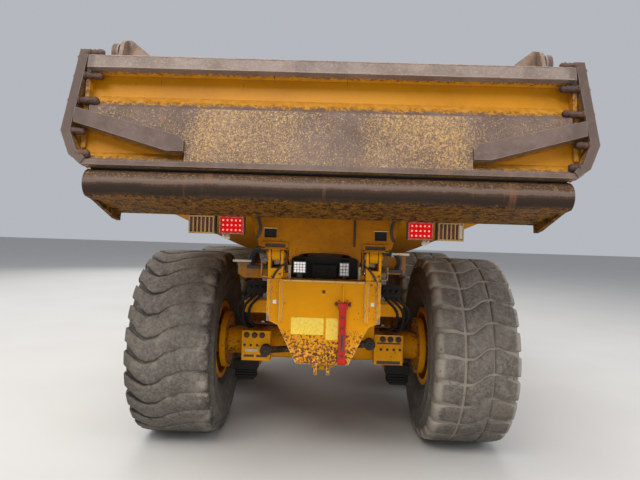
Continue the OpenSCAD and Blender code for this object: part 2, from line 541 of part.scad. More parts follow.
module door_glass() color([0.5, 0.6, 0.65, 0.5]) box3(door_x0 + 81, door_x1 - 81, cab_half_w - 30, cab_half_w - 24, 2141, win_top_z - 1);
module operator_station() color(dark) {
  // seat
  box3(2000, 2500, -240, 240, 1851, 2200);
  box3(2000, 2520, -260, 260, 2200, 2330);
  side_cut([[1960, 2330], [2100, 2330], [2030, 3000], [1930, 3000]], -250, 250);
  // dash, column and wheel
  box3(2860, 3080, -600, 600, 1851, 2380);
  translate([2760, 0, 2460]) rotate([0, -25, 0]) difference() {
    cylinder(h = 30, r = 220, center = true);
    cylinder(h = 50, r = 190, center = true);
  }
  translate([2760, 0, 2460]) rotate([0, -25, 0]) box3(-200, 200, -20, 20, -10, 10);
  side_cut([[2745, 2440], [2775, 2470], [2900, 2380], [2900, 2340]], -20, 20);
}
module cab_steps() color(dark) {
  // left ladder, by the height of its treads
  for (z = [620, 940, 1180]) box3(3560, 4100, 1000, 1400, z, z + 30);
  for (x = [3540, 4100]) box3(x, x + 20, 1000, 1400, 560, 1260);
  // handrails, columns: x, y, foot, top
  for (p = [[3420, 1380, 1775, 2500], [4300, 1380, 1775, 2300], [3420, -1380, 1775, 2500], [4300, -1380, 1775, 2300]]) cyl_z(p[0], p[1], p[2], p[3], 18);
  for (s = [-1, 1]) box3(3402, 4318, s * 1380 - 16, s * 1380 + 16, 2270, 2300);
}
module mirrors() color(dark) both_sides() {
  cyl_y(3040, 2950, cab_half_w, 1190, 16);
  box3(3030, 3175, 1176, 1200, 2930, 2970);
  box3(3165, 3225, 1160, 1360, 2700, 3050);
}

rear_frame();
cross_members();
tail_box();
prop_bar();
frame_hoses();
mid_axle();
rear_axle();
bogie_links();
drive_shafts();
wheel_place(-mid_axle_x, 1) tyre();  // tyre_mid_left
wheel_place(-mid_axle_x, 1) rim();  // rim_mid_left
wheel_place(-mid_axle_x, -1) tyre();  // tyre_mid_right
wheel_place(-mid_axle_x, -1) rim();  // rim_mid_right
wheel_place(-rear_axle_x, 1) tyre();  // tyre_rear_left
wheel_place(-rear_axle_x, 1) rim();  // rim_rear_left
wheel_place(-rear_axle_x, -1) tyre();  // tyre_rear_right
wheel_place(-rear_axle_x, -1) rim();  // rim_rear_right
wheel_place(front_axle_x, 1) tyre();  // tyre_front_left
wheel_place(front_axle_x, 1) rim();  // rim_front_left
wheel_place(front_axle_x, -1) tyre();  // tyre_front_right
wheel_place(front_axle_x, -1) rim();  // rim_front_right
hitch_head();
front_frame();
front_axle();
engine_block();
hood();
grille();
bumper();
front_fenders();
cab_shell();
cab_door();
cab_glass();
door_glass();
operator_station();
cab_steps();
mirrors();
headlights();
exhaust_stack();
fuel_tank();
steer_barrel_left();
steer_rod_left();
steer_barrel_right();
steer_rod_right();
hoist_barrels();
hoist_rods();
dump_body();
headboard();
chute_lip();
rear_lamps();
lamp_hoses();
tailgate();
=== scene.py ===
# Articulated dump truck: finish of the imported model. Metres, the frame of the CAD.
import math
import random
import bpy
import bmesh
from mathutils import Matrix, Vector


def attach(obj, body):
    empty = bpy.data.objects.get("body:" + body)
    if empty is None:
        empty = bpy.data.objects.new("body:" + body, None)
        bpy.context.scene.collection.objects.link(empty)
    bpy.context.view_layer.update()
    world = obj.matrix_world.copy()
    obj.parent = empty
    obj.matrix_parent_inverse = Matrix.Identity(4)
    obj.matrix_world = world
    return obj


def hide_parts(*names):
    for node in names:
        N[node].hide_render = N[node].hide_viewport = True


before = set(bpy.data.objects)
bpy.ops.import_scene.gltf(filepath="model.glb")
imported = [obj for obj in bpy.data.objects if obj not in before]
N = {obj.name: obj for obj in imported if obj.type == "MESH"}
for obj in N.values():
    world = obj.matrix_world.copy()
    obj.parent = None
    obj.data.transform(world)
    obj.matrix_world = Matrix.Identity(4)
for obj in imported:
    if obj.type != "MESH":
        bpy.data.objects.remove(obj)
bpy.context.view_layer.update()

scene = bpy.context.scene
col = scene.collection

# ------------------------------------------------------------------ camera
F_PX = 484.0
CAM = Vector((-7.85, 0.0, 1.785))
ROLL = math.radians(1.8)
VP = (325.6, 236.0)
AHEAD = Vector((1, 0, 0))
R0 = Vector((0, -1, 0))
U0 = Vector((0, 0, 1))
cr = R0 * math.cos(ROLL) + U0 * math.sin(ROLL)
cu = -R0 * math.sin(ROLL) + U0 * math.cos(ROLL)
cf = (AHEAD - cr * ((VP[0] - 320) / F_PX) - cu * ((240 - VP[1]) / F_PX)).normalized()
cr = (cr - cf * cr.dot(cf)).normalized()
cu = cr.cross(cf).normalized()
cam_data = bpy.data.cameras.new("camera")
cam_data.sensor_fit = "HORIZONTAL"
cam_data.sensor_width = 36.0
cam_data.lens = F_PX * 36.0 / 640.0
cam_data.clip_end = 200
cam = bpy.data.objects.new("camera", cam_data)
col.objects.link(cam)
m = Matrix((cr, cu, -cf)).transposed().to_4x4()
m.translation = CAM
cam.matrix_world = m
scene.camera = cam

# ------------------------------------------------------------------ node helpers
def new_mat(name):
    mat = bpy.data.materials.new(name)
    mat.use_nodes = True
    nt = mat.node_tree
    nt.nodes.clear()
    out = nt.nodes.new("ShaderNodeOutputMaterial")
    bsdf = nt.nodes.new("ShaderNodeBsdfPrincipled")
    nt.links.new(bsdf.outputs[0], out.inputs[0])
    return mat, nt, bsdf


class Net:
    """Short names for the nodes that the finishes are made of."""

    def __init__(self, nt):
        self.nt = nt
        self.tc = nt.nodes.new("ShaderNodeTexCoord")
        self.geo = None

    def link(self, a, b):
        self.nt.links.new(a, b)

    def pos(self, scale=(1, 1, 1), loc=(0, 0, 0), rot=(0, 0, 0)):
        n = self.nt.nodes.new("ShaderNodeMapping")
        n.inputs["Scale"].default_value = scale
        n.inputs["Location"].default_value = loc
        n.inputs["Rotation"].default_value = rot
        self.link(self.tc.outputs["Object"], n.inputs["Vector"])
        return n.outputs[0]

    def noise(self, scale, detail=4, rough=0.55, vec=None, dist=0.0):
        n = self.nt.nodes.new("ShaderNodeTexNoise")
        n.inputs["Scale"].default_value = scale
        n.inputs["Detail"].default_value = detail
        n.inputs["Roughness"].default_value = rough
        n.inputs["Distortion"].default_value = dist
        self.link(vec if vec else self.tc.outputs["Object"], n.inputs["Vector"])
        return n.outputs["Fac"]

    def cells(self, scale, vec=None, rand=1.0):
        n = self.nt.nodes.new("ShaderNodeTexVoronoi")
        n.inputs["Scale"].default_value = scale
        n.inputs["Randomness"].default_value = rand
        self.link(vec if vec else self.tc.outputs["Object"], n.inputs["Vector"])
        return n.outputs["Distance"]

    def ramp(self, fac, stops, mode="LINEAR"):
        n = self.nt.nodes.new("ShaderNodeValToRGB")
        n.color_ramp.interpolation = mode
        el = n.color_ramp.elements
        while len(el) < len(stops):
            el.new(0.5)
        for e, (p, c) in zip(el, stops):
            e.position = p
            e.color = (c, c, c, 1) if isinstance(c, (int, float)) else (*c, 1)
        self.link(fac, n.inputs[0])
        return n.outputs[0]

    def step(self, fac, a, b):
        """0 below a, 1 above b (or the other way round when a > b)."""
        n = self.nt.nodes.new("ShaderNodeMapRange")
        n.interpolation_type = "SMOOTHSTEP"
        n.inputs["From Min"].default_value = a
        n.inputs["From Max"].default_value = b
        self.link(fac, n.inputs["Value"])
        return n.outputs[0]

    def math(self, op, a, b=None, c=None, clamp=False):
        n = self.nt.nodes.new("ShaderNodeMath")
        n.operation = op
        n.use_clamp = clamp
        for i, v in enumerate((a, b, c)):
            if v is None:
                continue
            if isinstance(v, (int, float)):
                n.inputs[i].default_value = v
            else:
                self.link(v, n.inputs[i])
        return n.outputs[0]

    def mix(self, fac, a, b, mode="MIX"):
        n = self.nt.nodes.new("ShaderNodeMix")
        n.data_type = "RGBA"
        n.blend_type = mode
        n.clamp_factor = True
        for key, v in (("Factor", fac), ("A", a), ("B", b)):
            sock = [s for s in n.inputs if s.name == key and (s.type == "RGBA" if key != "Factor" else s.type == "VALUE")][0]
            if isinstance(v, (int, float)):
                sock.default_value = v if key == "Factor" else (v, v, v, 1)
            elif isinstance(v, tuple):
                sock.default_value = (*v, 1)
            else:
                self.link(v, sock)
        return [s for s in n.outputs if s.type == "RGBA"][0]

    def axis(self, i):
        n = self.nt.nodes.new("ShaderNodeSeparateXYZ")
        self.link(self.tc.outputs["Object"], n.inputs[0])
        return n.outputs[i]

    def normal_axis(self, i):
        n = self.nt.nodes.new("ShaderNodeSeparateXYZ")
        self.link(self.tc.outputs["Normal"], n.inputs[0])
        return n.outputs[i]

    def vmath(self, op, a, b):
        n = self.nt.nodes.new("ShaderNodeVectorMath")
        n.operation = op
        for i, v in enumerate((a, b)):
            if isinstance(v, tuple):
                n.inputs[i].default_value = v
            else:
                self.link(v, n.inputs[i])
        return n.outputs["Value"] if op in ("DOT_PRODUCT", "LENGTH") else n.outputs["Vector"]

    def along(self, v, origin=(0, 0, 0)):
        """How far a point lies from origin along v, in the object's own space."""
        return self.vmath("DOT_PRODUCT", self.vmath("SUBTRACT", self.tc.outputs["Object"], origin), v)

    def edge(self, radius):
        """1 near an outer or inner edge, 0 on a flat."""
        if self.geo is None:
            self.geo = self.nt.nodes.new("ShaderNodeNewGeometry")
        b = self.nt.nodes.new("ShaderNodeBevel")
        b.samples = 4
        b.inputs["Radius"].default_value = radius
        d = self.nt.nodes.new("ShaderNodeVectorMath")
        d.operation = "DOT_PRODUCT"
        self.link(b.outputs[0], d.inputs[0])
        self.link(self.geo.outputs["Normal"], d.inputs[1])
        return self.math("SUBTRACT", 1.0, d.outputs["Value"], clamp=True)

    def bump(self, height, strength, dist, bsdf=None, prev=None):
        n = self.nt.nodes.new("ShaderNodeBump")
        n.inputs["Strength"].default_value = strength
        n.inputs["Distance"].default_value = dist
        self.link(height, n.inputs["Height"])
        if prev is not None:
            self.link(prev, n.inputs["Normal"])
        if bsdf is not None:
            self.link(n.outputs[0], bsdf.inputs["Normal"])
        return n.outputs[0]


# ------------------------------------------------------------------ finishes
def painted(name, light, dark, primer=(0.13, 0.085, 0.06), bare=(0.20, 0.165, 0.15), edge=0.006, edge_amount=0.55, chips=0.5,
            dirt=(0.20, 0.155, 0.11), dirt_amount=0.35, low=None, rough=0.42, steel=None, speck=90, fleck=False, rim=None):
    """Chipped paint. low = (height, fade): heavier chips below that height. steel(net) gives a mask of bare plate."""
    mat, nt, bsdf = new_mat(name)
    k = Net(nt)
    broad = k.noise(1.3, 5, 0.6)
    fine = k.noise(24, 6, 0.65)
    grain = k.noise(220, 3, 0.6)
    col_ = k.mix(k.step(broad, 0.35, 0.68), dark, light)
    col_ = k.mix(k.math("MULTIPLY", k.step(fine, 0.35, 0.75), 0.35), col_, tuple(min(1, c * 1.15) for c in light))
    # streaks that run down
    streak = k.noise(1.0, 5, 0.7, vec=k.pos((16, 16, 1.1)))
    col_ = k.mix(k.math("MULTIPLY", k.step(streak, 0.56, 0.78), 0.35 * dirt_amount / 0.35), col_, dirt)
    # dust and dirt in patches
    patch = k.step(k.noise(3.1, 8, 0.7), 0.50, 0.78)
    col_ = k.mix(k.math("MULTIPLY", patch, dirt_amount), col_, dirt)
    # chips: sharp cells where a broad mask allows them
    allow = k.noise(2.2, 4, 0.6)
    cell = k.noise(speck, 3, 0.72)
    chip = k.step(k.math("ADD", k.math("MULTIPLY", allow, 0.55), k.math("MULTIPLY", cell, 0.62)), 0.78 - 0.13 * chips, 0.80 - 0.13 * chips)
    if low:
        z = k.axis(2)
        lowmask = k.step(k.math("ADD", z, k.math("MULTIPLY", k.noise(7, 4, 0.7), 0.12)), low[0] + low[1], low[0] - low[1])
        chip2 = k.step(k.math("ADD", k.math("MULTIPLY", lowmask, 0.125), cell), 0.592, 0.612)
        chip = k.math("MAXIMUM", chip, k.math("MULTIPLY", chip2, k.step(lowmask, 0.02, 0.3)))
        if fleck:
            pale = k.step(k.math("ADD", k.math("MULTIPLY", lowmask, 0.085), k.noise(120, 2, 0.8)), 0.600, 0.625)
            col_ = k.mix(k.math("MULTIPLY", k.math("MULTIPLY", pale, lowmask), 0.75), col_, (0.86, 0.56, 0.20))
    worn_edge = k.edge(edge)
    wear = k.step(k.math("ADD", worn_edge, k.math("MULTIPLY", k.math("SUBTRACT", k.noise(38, 5, 0.7), 0.5), 0.55)), 0.30 - 0.25 * edge_amount, 0.36 - 0.25 * edge_amount)
    wear = k.math("MULTIPLY", wear, k.step(worn_edge, 0.004, 0.03))
    mask = k.math("MAXIMUM", chip, wear)
    metal_col = k.mix(k.step(k.noise(60, 4, 0.7), 0.4, 0.62), primer, bare)
    col_ = k.mix(mask, col_, metal_col)
    if rim:
        # paint rubbed pale along the edges, before it goes through
        pale_edge = k.math("MULTIPLY", k.step(worn_edge, 0.010, 0.10), k.step(k.noise(30, 4, 0.7), 0.36, 0.52))
        col_ = k.mix(k.math("MULTIPLY", pale_edge, 0.8), col_, rim)
    if steel:
        sm, steel_col = steel(k)
        col_ = k.mix(sm, col_, steel_col)
        mask = k.math("MAXIMUM", mask, sm)
    k.link(col_, bsdf.inputs["Base Color"])
    bsdf.inputs["Specular IOR Level"].default_value = 0.14
    bsdf.inputs["Specular Tint"].default_value = (1.0, 0.80, 0.50, 1.0)
    r = k.math("ADD", k.math("MULTIPLY", fine, 0.22), k.math("MULTIPLY", mask, 0.10))
    r = k.math("ADD", r, k.math("ADD", k.math("MULTIPLY", patch, 0.18), rough - 0.12))
    k.link(r, bsdf.inputs["Roughness"])
    h = k.math("SUBTRACT", k.math("ADD", k.math("MULTIPLY", grain, 0.12), k.math("MULTIPLY", fine, 0.5)), k.math("MULTIPLY", mask, 0.6))
    k.bump(h, 0.35, 0.002, bsdf)
    return mat


def bare_plate(name, a=(0.135, 0.095, 0.082), b=(0.215, 0.160, 0.138), rust=(0.16, 0.075, 0.04), rust_amount=0.3, rough=0.48, shine=0.15):
    mat, nt, bsdf = new_mat(name)
    k = Net(nt)
    broad = k.noise(2.6, 7, 0.68)
    scr = k.noise(1.0, 4, 0.7, vec=k.pos((5, 160, 60)))
    fine = k.noise(75, 5, 0.7)
    c = k.mix(k.step(broad, 0.33, 0.66), a, b)
    c = k.mix(k.math("MULTIPLY", k.step(scr, 0.50, 0.72), 0.45), c, tuple(min(1, x * 1.55) for x in b))
    c = k.mix(k.math("MULTIPLY", k.step(k.noise(5.2, 8, 0.75), 0.50, 0.70), rust_amount), c, rust)
    c = k.mix(k.math("MULTIPLY", k.edge(0.008), 0.9), c, tuple(min(1, x * 1.9) for x in b))
    k.link(c, bsdf.inputs["Base Color"])
    bsdf.inputs["Metallic"].default_value = shine
    k.link(k.math("ADD", k.math("MULTIPLY", fine, 0.35), rough - 0.15), bsdf.inputs["Roughness"])
    k.bump(k.math("ADD", fine, k.math("MULTIPLY", broad, 1.5)), 0.35, 0.002, bsdf)
    return mat


def plain(name, a, b, rough=(0.35, 0.6), metal=0.0, scale=30, bump=0.2, dust=None, dust_amount=0.3, edge_light=0.0, coat=0.0, stretch=(1, 1, 1), shine=0.5):
    """Plastic, rubber, cast or dark painted metal with fine variation and dust."""
    mat, nt, bsdf = new_mat(name)
    k = Net(nt)
    v = k.pos(stretch)
    n1 = k.noise(scale, 5, 0.65, vec=v)
    n2 = k.noise(scale * 0.12, 5, 0.6)
    c = k.mix(k.step(n1, 0.32, 0.70), a, b)
    if dust:
        c = k.mix(k.math("MULTIPLY", k.step(n2, 0.42, 0.70), dust_amount), c, dust)
        up = k.step(k.normal_axis(2), 0.35, 0.95)
        c = k.mix(k.math("MULTIPLY", up, min(1, dust_amount * 1.3)), c, dust)
    if edge_light:
        c = k.mix(k.math("MULTIPLY", k.step(k.edge(0.004), 0.03, 0.25), edge_light), c, tuple(min(1, x * 2.2 + 0.06) for x in b))
    k.link(c, bsdf.inputs["Base Color"])
    bsdf.inputs["Metallic"].default_value = metal
    bsdf.inputs["Coat Weight"].default_value = coat
    bsdf.inputs["Specular IOR Level"].default_value = shine
    k.link(k.math("ADD", k.math("MULTIPLY", n1, rough[1] - rough[0]), rough[0]), bsdf.inputs["Roughness"])
    k.bump(k.math("ADD", n1, k.math("MULTIPLY", k.noise(scale * 6, 3, 0.6), 0.5)), bump, 0.0015, bsdf)
    return mat


YEL = (0.62, 0.262, 0.001)
YEL_D = (0.50, 0.198, 0.001)
M = {}
M["paint"] = painted("paint_yellow", YEL, YEL_D)
M["paint_clean"] = painted("paint_yellow_clean", (0.64, 0.292, 0.006), (0.54, 0.238, 0.005), chips=0.2, dirt_amount=0.22, edge_amount=0.35)
# yellow of the frames, axles and cylinders: a brighter copy of the body's yellow as painted light on the low parts,
# with heavier chips and dirt
M["paint_low"] = painted("paint_yellow_grimy_painted_light", (0.74, 0.315, 0.002), (0.60, 0.240, 0.001), chips=0.78, dirt_amount=0.38, edge_amount=0.7, rough=0.5, dirt=(0.26, 0.13, 0.045), speck=55, primer=(0.10, 0.042, 0.018), bare=(0.15, 0.085, 0.05))
M["paint_old"] = painted("paint_yellow_old", (0.40, 0.150, 0.004), (0.28, 0.095, 0.003), chips=0.95, dirt_amount=0.6, edge_amount=0.7, rough=0.6, dirt=(0.12, 0.075, 0.045), speck=60)
M["tail_box"] = painted("paint_tail_box", (0.62, 0.252, 0.001), (0.54, 0.212, 0.001), chips=0.48, dirt_amount=0.2, low=(1.085, 0.15), speck=60, fleck=True, dirt=(0.30, 0.13, 0.03),
                        primer=(0.27, 0.100, 0.022), bare=(0.095, 0.045, 0.024), edge_amount=0.75, rim=(0.80, 0.58, 0.26))
M["steel"] = bare_plate("bare_plate")
M["steel_dark"] = bare_plate("bare_plate_dark", (0.085, 0.062, 0.055), (0.15, 0.115, 0.10), (0.13, 0.06, 0.03), 0.45, 0.5, 0.3)
M["rusty"] = bare_plate("rusty_bar", (0.030, 0.013, 0.008), (0.068, 0.031, 0.019), (0.105, 0.036, 0.014), 0.55, 0.7, 0.0)
M["dark"] = plain("dark_grey_paint", (0.030, 0.031, 0.033), (0.055, 0.055, 0.056), (0.38, 0.62), dust=(0.20, 0.165, 0.13), dust_amount=0.28, edge_light=0.5)
M["cast"] = plain("cast_iron", (0.045, 0.042, 0.040), (0.085, 0.078, 0.072), (0.5, 0.75), metal=0.4, dust=(0.16, 0.12, 0.09), dust_amount=0.4, bump=0.5, edge_light=0.4)
M["plastic"] = plain("black_plastic", (0.014, 0.014, 0.015), (0.028, 0.028, 0.030), (0.38, 0.6), scale=90, dust=(0.16, 0.14, 0.12), dust_amount=0.2, edge_light=0.25)
M["rubber"] = plain("black_rubber", (0.016, 0.015, 0.015), (0.034, 0.032, 0.030), (0.55, 0.8), scale=60, dust=(0.10, 0.085, 0.07), dust_amount=0.15)
# near-black for openings and dark recesses: painted shade
M["void"] = plain("deep_black", (0.003, 0.003, 0.003), (0.008, 0.007, 0.006), (0.7, 0.95), scale=60, dust=(0.03, 0.022, 0.015), dust_amount=0.2)
M["rubber_dark"] = plain("black_hose", (0.006, 0.006, 0.006), (0.013, 0.012, 0.011), (0.5, 0.75), scale=60, dust=(0.03, 0.024, 0.018), dust_amount=0.10, shine=0.14)
M["chrome"] = plain("polished_rod", (0.62, 0.62, 0.63), (0.76, 0.76, 0.78), (0.08, 0.22), metal=1.0, scale=14, bump=0.04, stretch=(1, 14, 14), dust=(0.35, 0.28, 0.2), dust_amount=0.12)
M["bright"] = plain("bright_steel", (0.42, 0.41, 0.40), (0.58, 0.57, 0.55), (0.25, 0.45), metal=0.9, scale=40, bump=0.12, dust=(0.25, 0.2, 0.15), dust_amount=0.25)
M["red"] = painted("paint_red", (0.44, 0.016, 0.012), (0.30, 0.011, 0.009), chips=0.6, dirt_amount=0.3, edge_amount=0.6, primer=(0.10, 0.05, 0.04))
M["pale"] = plain("pale_tan_paint", (0.50, 0.42, 0.30), (0.62, 0.54, 0.40), (0.45, 0.65), dust=(0.30, 0.23, 0.16), dust_amount=0.3, edge_light=0.3)
M["label"] = plain("pale_yellow_film", (0.70, 0.47, 0.020), (0.78, 0.55, 0.045), (0.22, 0.34), scale=50, bump=0.06, dust=(0.40, 0.28, 0.12), dust_amount=0.2)
M["white"] = plain("white_tag", (0.62, 0.60, 0.55), (0.75, 0.73, 0.68), (0.35, 0.5), dust=(0.35, 0.28, 0.2), dust_amount=0.3)
M["seat"] = plain("seat_fabric", (0.030, 0.031, 0.034), (0.065, 0.066, 0.070), (0.75, 0.95), scale=260, bump=0.7)


def tyre_material(name, groove_dust_and_shade, groove_amt, r_hi, r_lo, scuff):
    mat, nt, bsdf = new_mat(name)
    k = Net(nt)
    broad = k.noise(2.4, 6, 0.6)
    fine = k.noise(42, 6, 0.7)
    grit = k.noise(210, 3, 0.6)
    c = k.mix(k.step(fine, 0.30, 0.72), (0.066, 0.057, 0.049), (0.110, 0.097, 0.082))
    # grooves: dried earth on the dusty tread, near-black painted shade on the other; dried earth over the walls, and
    # lug tops scrubbed paler
    ox, oy, oz = k.axis(0), k.axis(1), k.axis(2)
    rad = k.math("SQRT", k.math("ADD", k.math("MULTIPLY", ox, ox), k.math("MULTIPLY", oz, oz)))
    groove = k.math("MULTIPLY", k.step(rad, r_hi, r_lo), k.step(rad, 0.70, 0.76))
    c = k.mix(k.math("MULTIPLY", groove, groove_amt), c, groove_dust_and_shade)
    c = k.mix(k.math("MULTIPLY", k.step(broad, 0.42, 0.66), 0.5), c, (0.138, 0.119, 0.095))
    top = k.step(rad, 0.800, 0.807)
    c = k.mix(k.math("MULTIPLY", top, k.math("MULTIPLY", k.step(fine, 0.35, 0.7), 0.5)), c, (0.190, 0.168, 0.142))
    c = k.mix(k.math("MULTIPLY", k.step(k.edge(0.010), 0.05, 0.35), 0.4), c, (0.235, 0.205, 0.175))
    # scuffed, dusty inner shoulder and broad dusty clouds over the lugs
    inner = k.math("MULTIPLY", k.step(oy, -0.16, -0.30), k.step(k.noise(7, 6, 0.75), 0.40, 0.62))
    c = k.mix(k.math("MULTIPLY", k.math("MULTIPLY", inner, k.step(rad, 0.72, 0.79)), scuff), c, (0.33, 0.295, 0.245))
    c = k.mix(k.math("MULTIPLY", k.step(k.noise(11, 6, 0.72), 0.50, 0.68), 0.35), c, (0.26, 0.235, 0.20))
    nick = k.step(k.noise(24, 3, 0.8), 0.62, 0.67)
    c = k.mix(k.math("MULTIPLY", nick, 0.6), c, (0.040, 0.036, 0.033))
    k.link(c, bsdf.inputs["Base Color"])
    k.link(k.math("ADD", k.math("MULTIPLY", fine, 0.25), 0.68), bsdf.inputs["Roughness"])
    bsdf.inputs["Specular IOR Level"].default_value = 0.3
    h = k.math("ADD", k.math("MULTIPLY", fine, 1.0), k.math("ADD", k.math("MULTIPLY", grit, 0.4), k.math("MULTIPLY", nick, -1.5)))
    k.bump(h, 0.55, 0.003, bsdf)
    return mat


def glass_material(name, tint, dust_amount=0.12, rough=0.03, alpha=0.30):
    mat, nt, bsdf = new_mat(name)
    k = Net(nt)
    film = k.step(k.noise(2.2, 6, 0.7), 0.42, 0.72)
    c = k.mix(film, tint, (0.32, 0.29, 0.24))
    k.link(c, bsdf.inputs["Base Color"])
    k.link(k.math("ADD", k.math("MULTIPLY", film, dust_amount), alpha), bsdf.inputs["Alpha"])
    k.link(k.math("ADD", k.math("MULTIPLY", film, 0.25), rough), bsdf.inputs["Roughness"])
    bsdf.inputs["Coat Weight"].default_value = 0.6
    k.bump(k.noise(40, 3, 0.6), 0.03, 0.001, bsdf)
    return mat


def lens_material(name, a, b, pitch=60, glow=None, coat=0.5, shine=0.5):
    """Ribbed lens: small square facets in the bump."""
    mat, nt, bsdf = new_mat(name)
    k = Net(nt)
    n = k.noise(35, 4, 0.6)
    c = k.mix(k.step(n, 0.3, 0.7), a, b)
    c = k.mix(k.math("MULTIPLY", k.step(k.noise(6, 6, 0.7), 0.5, 0.75), 0.35), c, (0.22, 0.14, 0.10))
    k.link(c, bsdf.inputs["Base Color"])
    wy = k.math("SINE", k.math("MULTIPLY", k.axis(1), pitch * 6.28))
    wz = k.math("SINE", k.math("MULTIPLY", k.axis(2), pitch * 6.28))
    k.bump(k.math("MULTIPLY", wy, wz), 0.5, 0.002, bsdf)
    k.link(k.math("ADD", k.math("MULTIPLY", n, 0.15), 0.10), bsdf.inputs["Roughness"])
    bsdf.inputs["Coat Weight"].default_value = coat
    bsdf.inputs["Specular IOR Level"].default_value = shine
    if glow:
        bsdf.inputs["Emission Color"].default_value = (*glow[0], 1)
        bsdf.inputs["Emission Strength"].default_value = glow[1]
    return mat


# tyre: near-black grooves as painted shade; tyre_b: grooves filled with dried earth
M["tyre"] = tyre_material("tyre_rubber", (0.030, 0.028, 0.028), 0.85, 0.800, 0.786, 0.7)
M["tyre_b"] = tyre_material("tyre_rubber_dusty", (0.30, 0.262, 0.215), 0.75, 0.8035, 0.7985, 0.4)
M["glass"] = glass_material("window_glass", (0.05, 0.075, 0.07))
M["lamp_red"] = lens_material("lamp_red", (0.40, 0.0005, 0.0005), (0.55, 0.001, 0.001), 70, glow=((1.0, 0.0, 0.0), 0.36), coat=0.04, shine=0.12)
M["lamp_frame"] = lens_material("lamp_red_frame", (0.46, 0.045, 0.030), (0.58, 0.085, 0.055), 20)
M["lamp_amber"] = lens_material("lamp_amber", (0.105, 0.014, 0.006), (0.17, 0.030, 0.012), 60)
M["guard"] = painted("paint_guard", (0.62, 0.40, 0.12), (0.50, 0.30, 0.08), chips=0.7, dirt_amount=0.3, edge_amount=0.6, speck=120)
M["lamp_clear"] = lens_material("lamp_clear", (0.55, 0.56, 0.56), (0.75, 0.76, 0.76), 50)
M["led_dot"] = lens_material("led_dot", (0.80, 0.40, 0.36), (0.90, 0.55, 0.50), 120, glow=((1.0, 0.46, 0.36), 0.42), coat=0.1, shine=0.2)
M["led_white"] = lens_material("led_white", (0.82, 0.83, 0.82), (0.95, 0.95, 0.94), 120, glow=((1.0, 0.97, 0.90), 0.35))

# the tailgate's own place: d goes into the truck across the gate, h up its lean
GATE_O = (-5.092, 0.0, 2.150)
GATE_A = math.radians(11)
GATE_D = (math.cos(GATE_A), 0.0, -math.sin(GATE_A))
GATE_H = (math.sin(GATE_A), 0.0, math.cos(GATE_A))


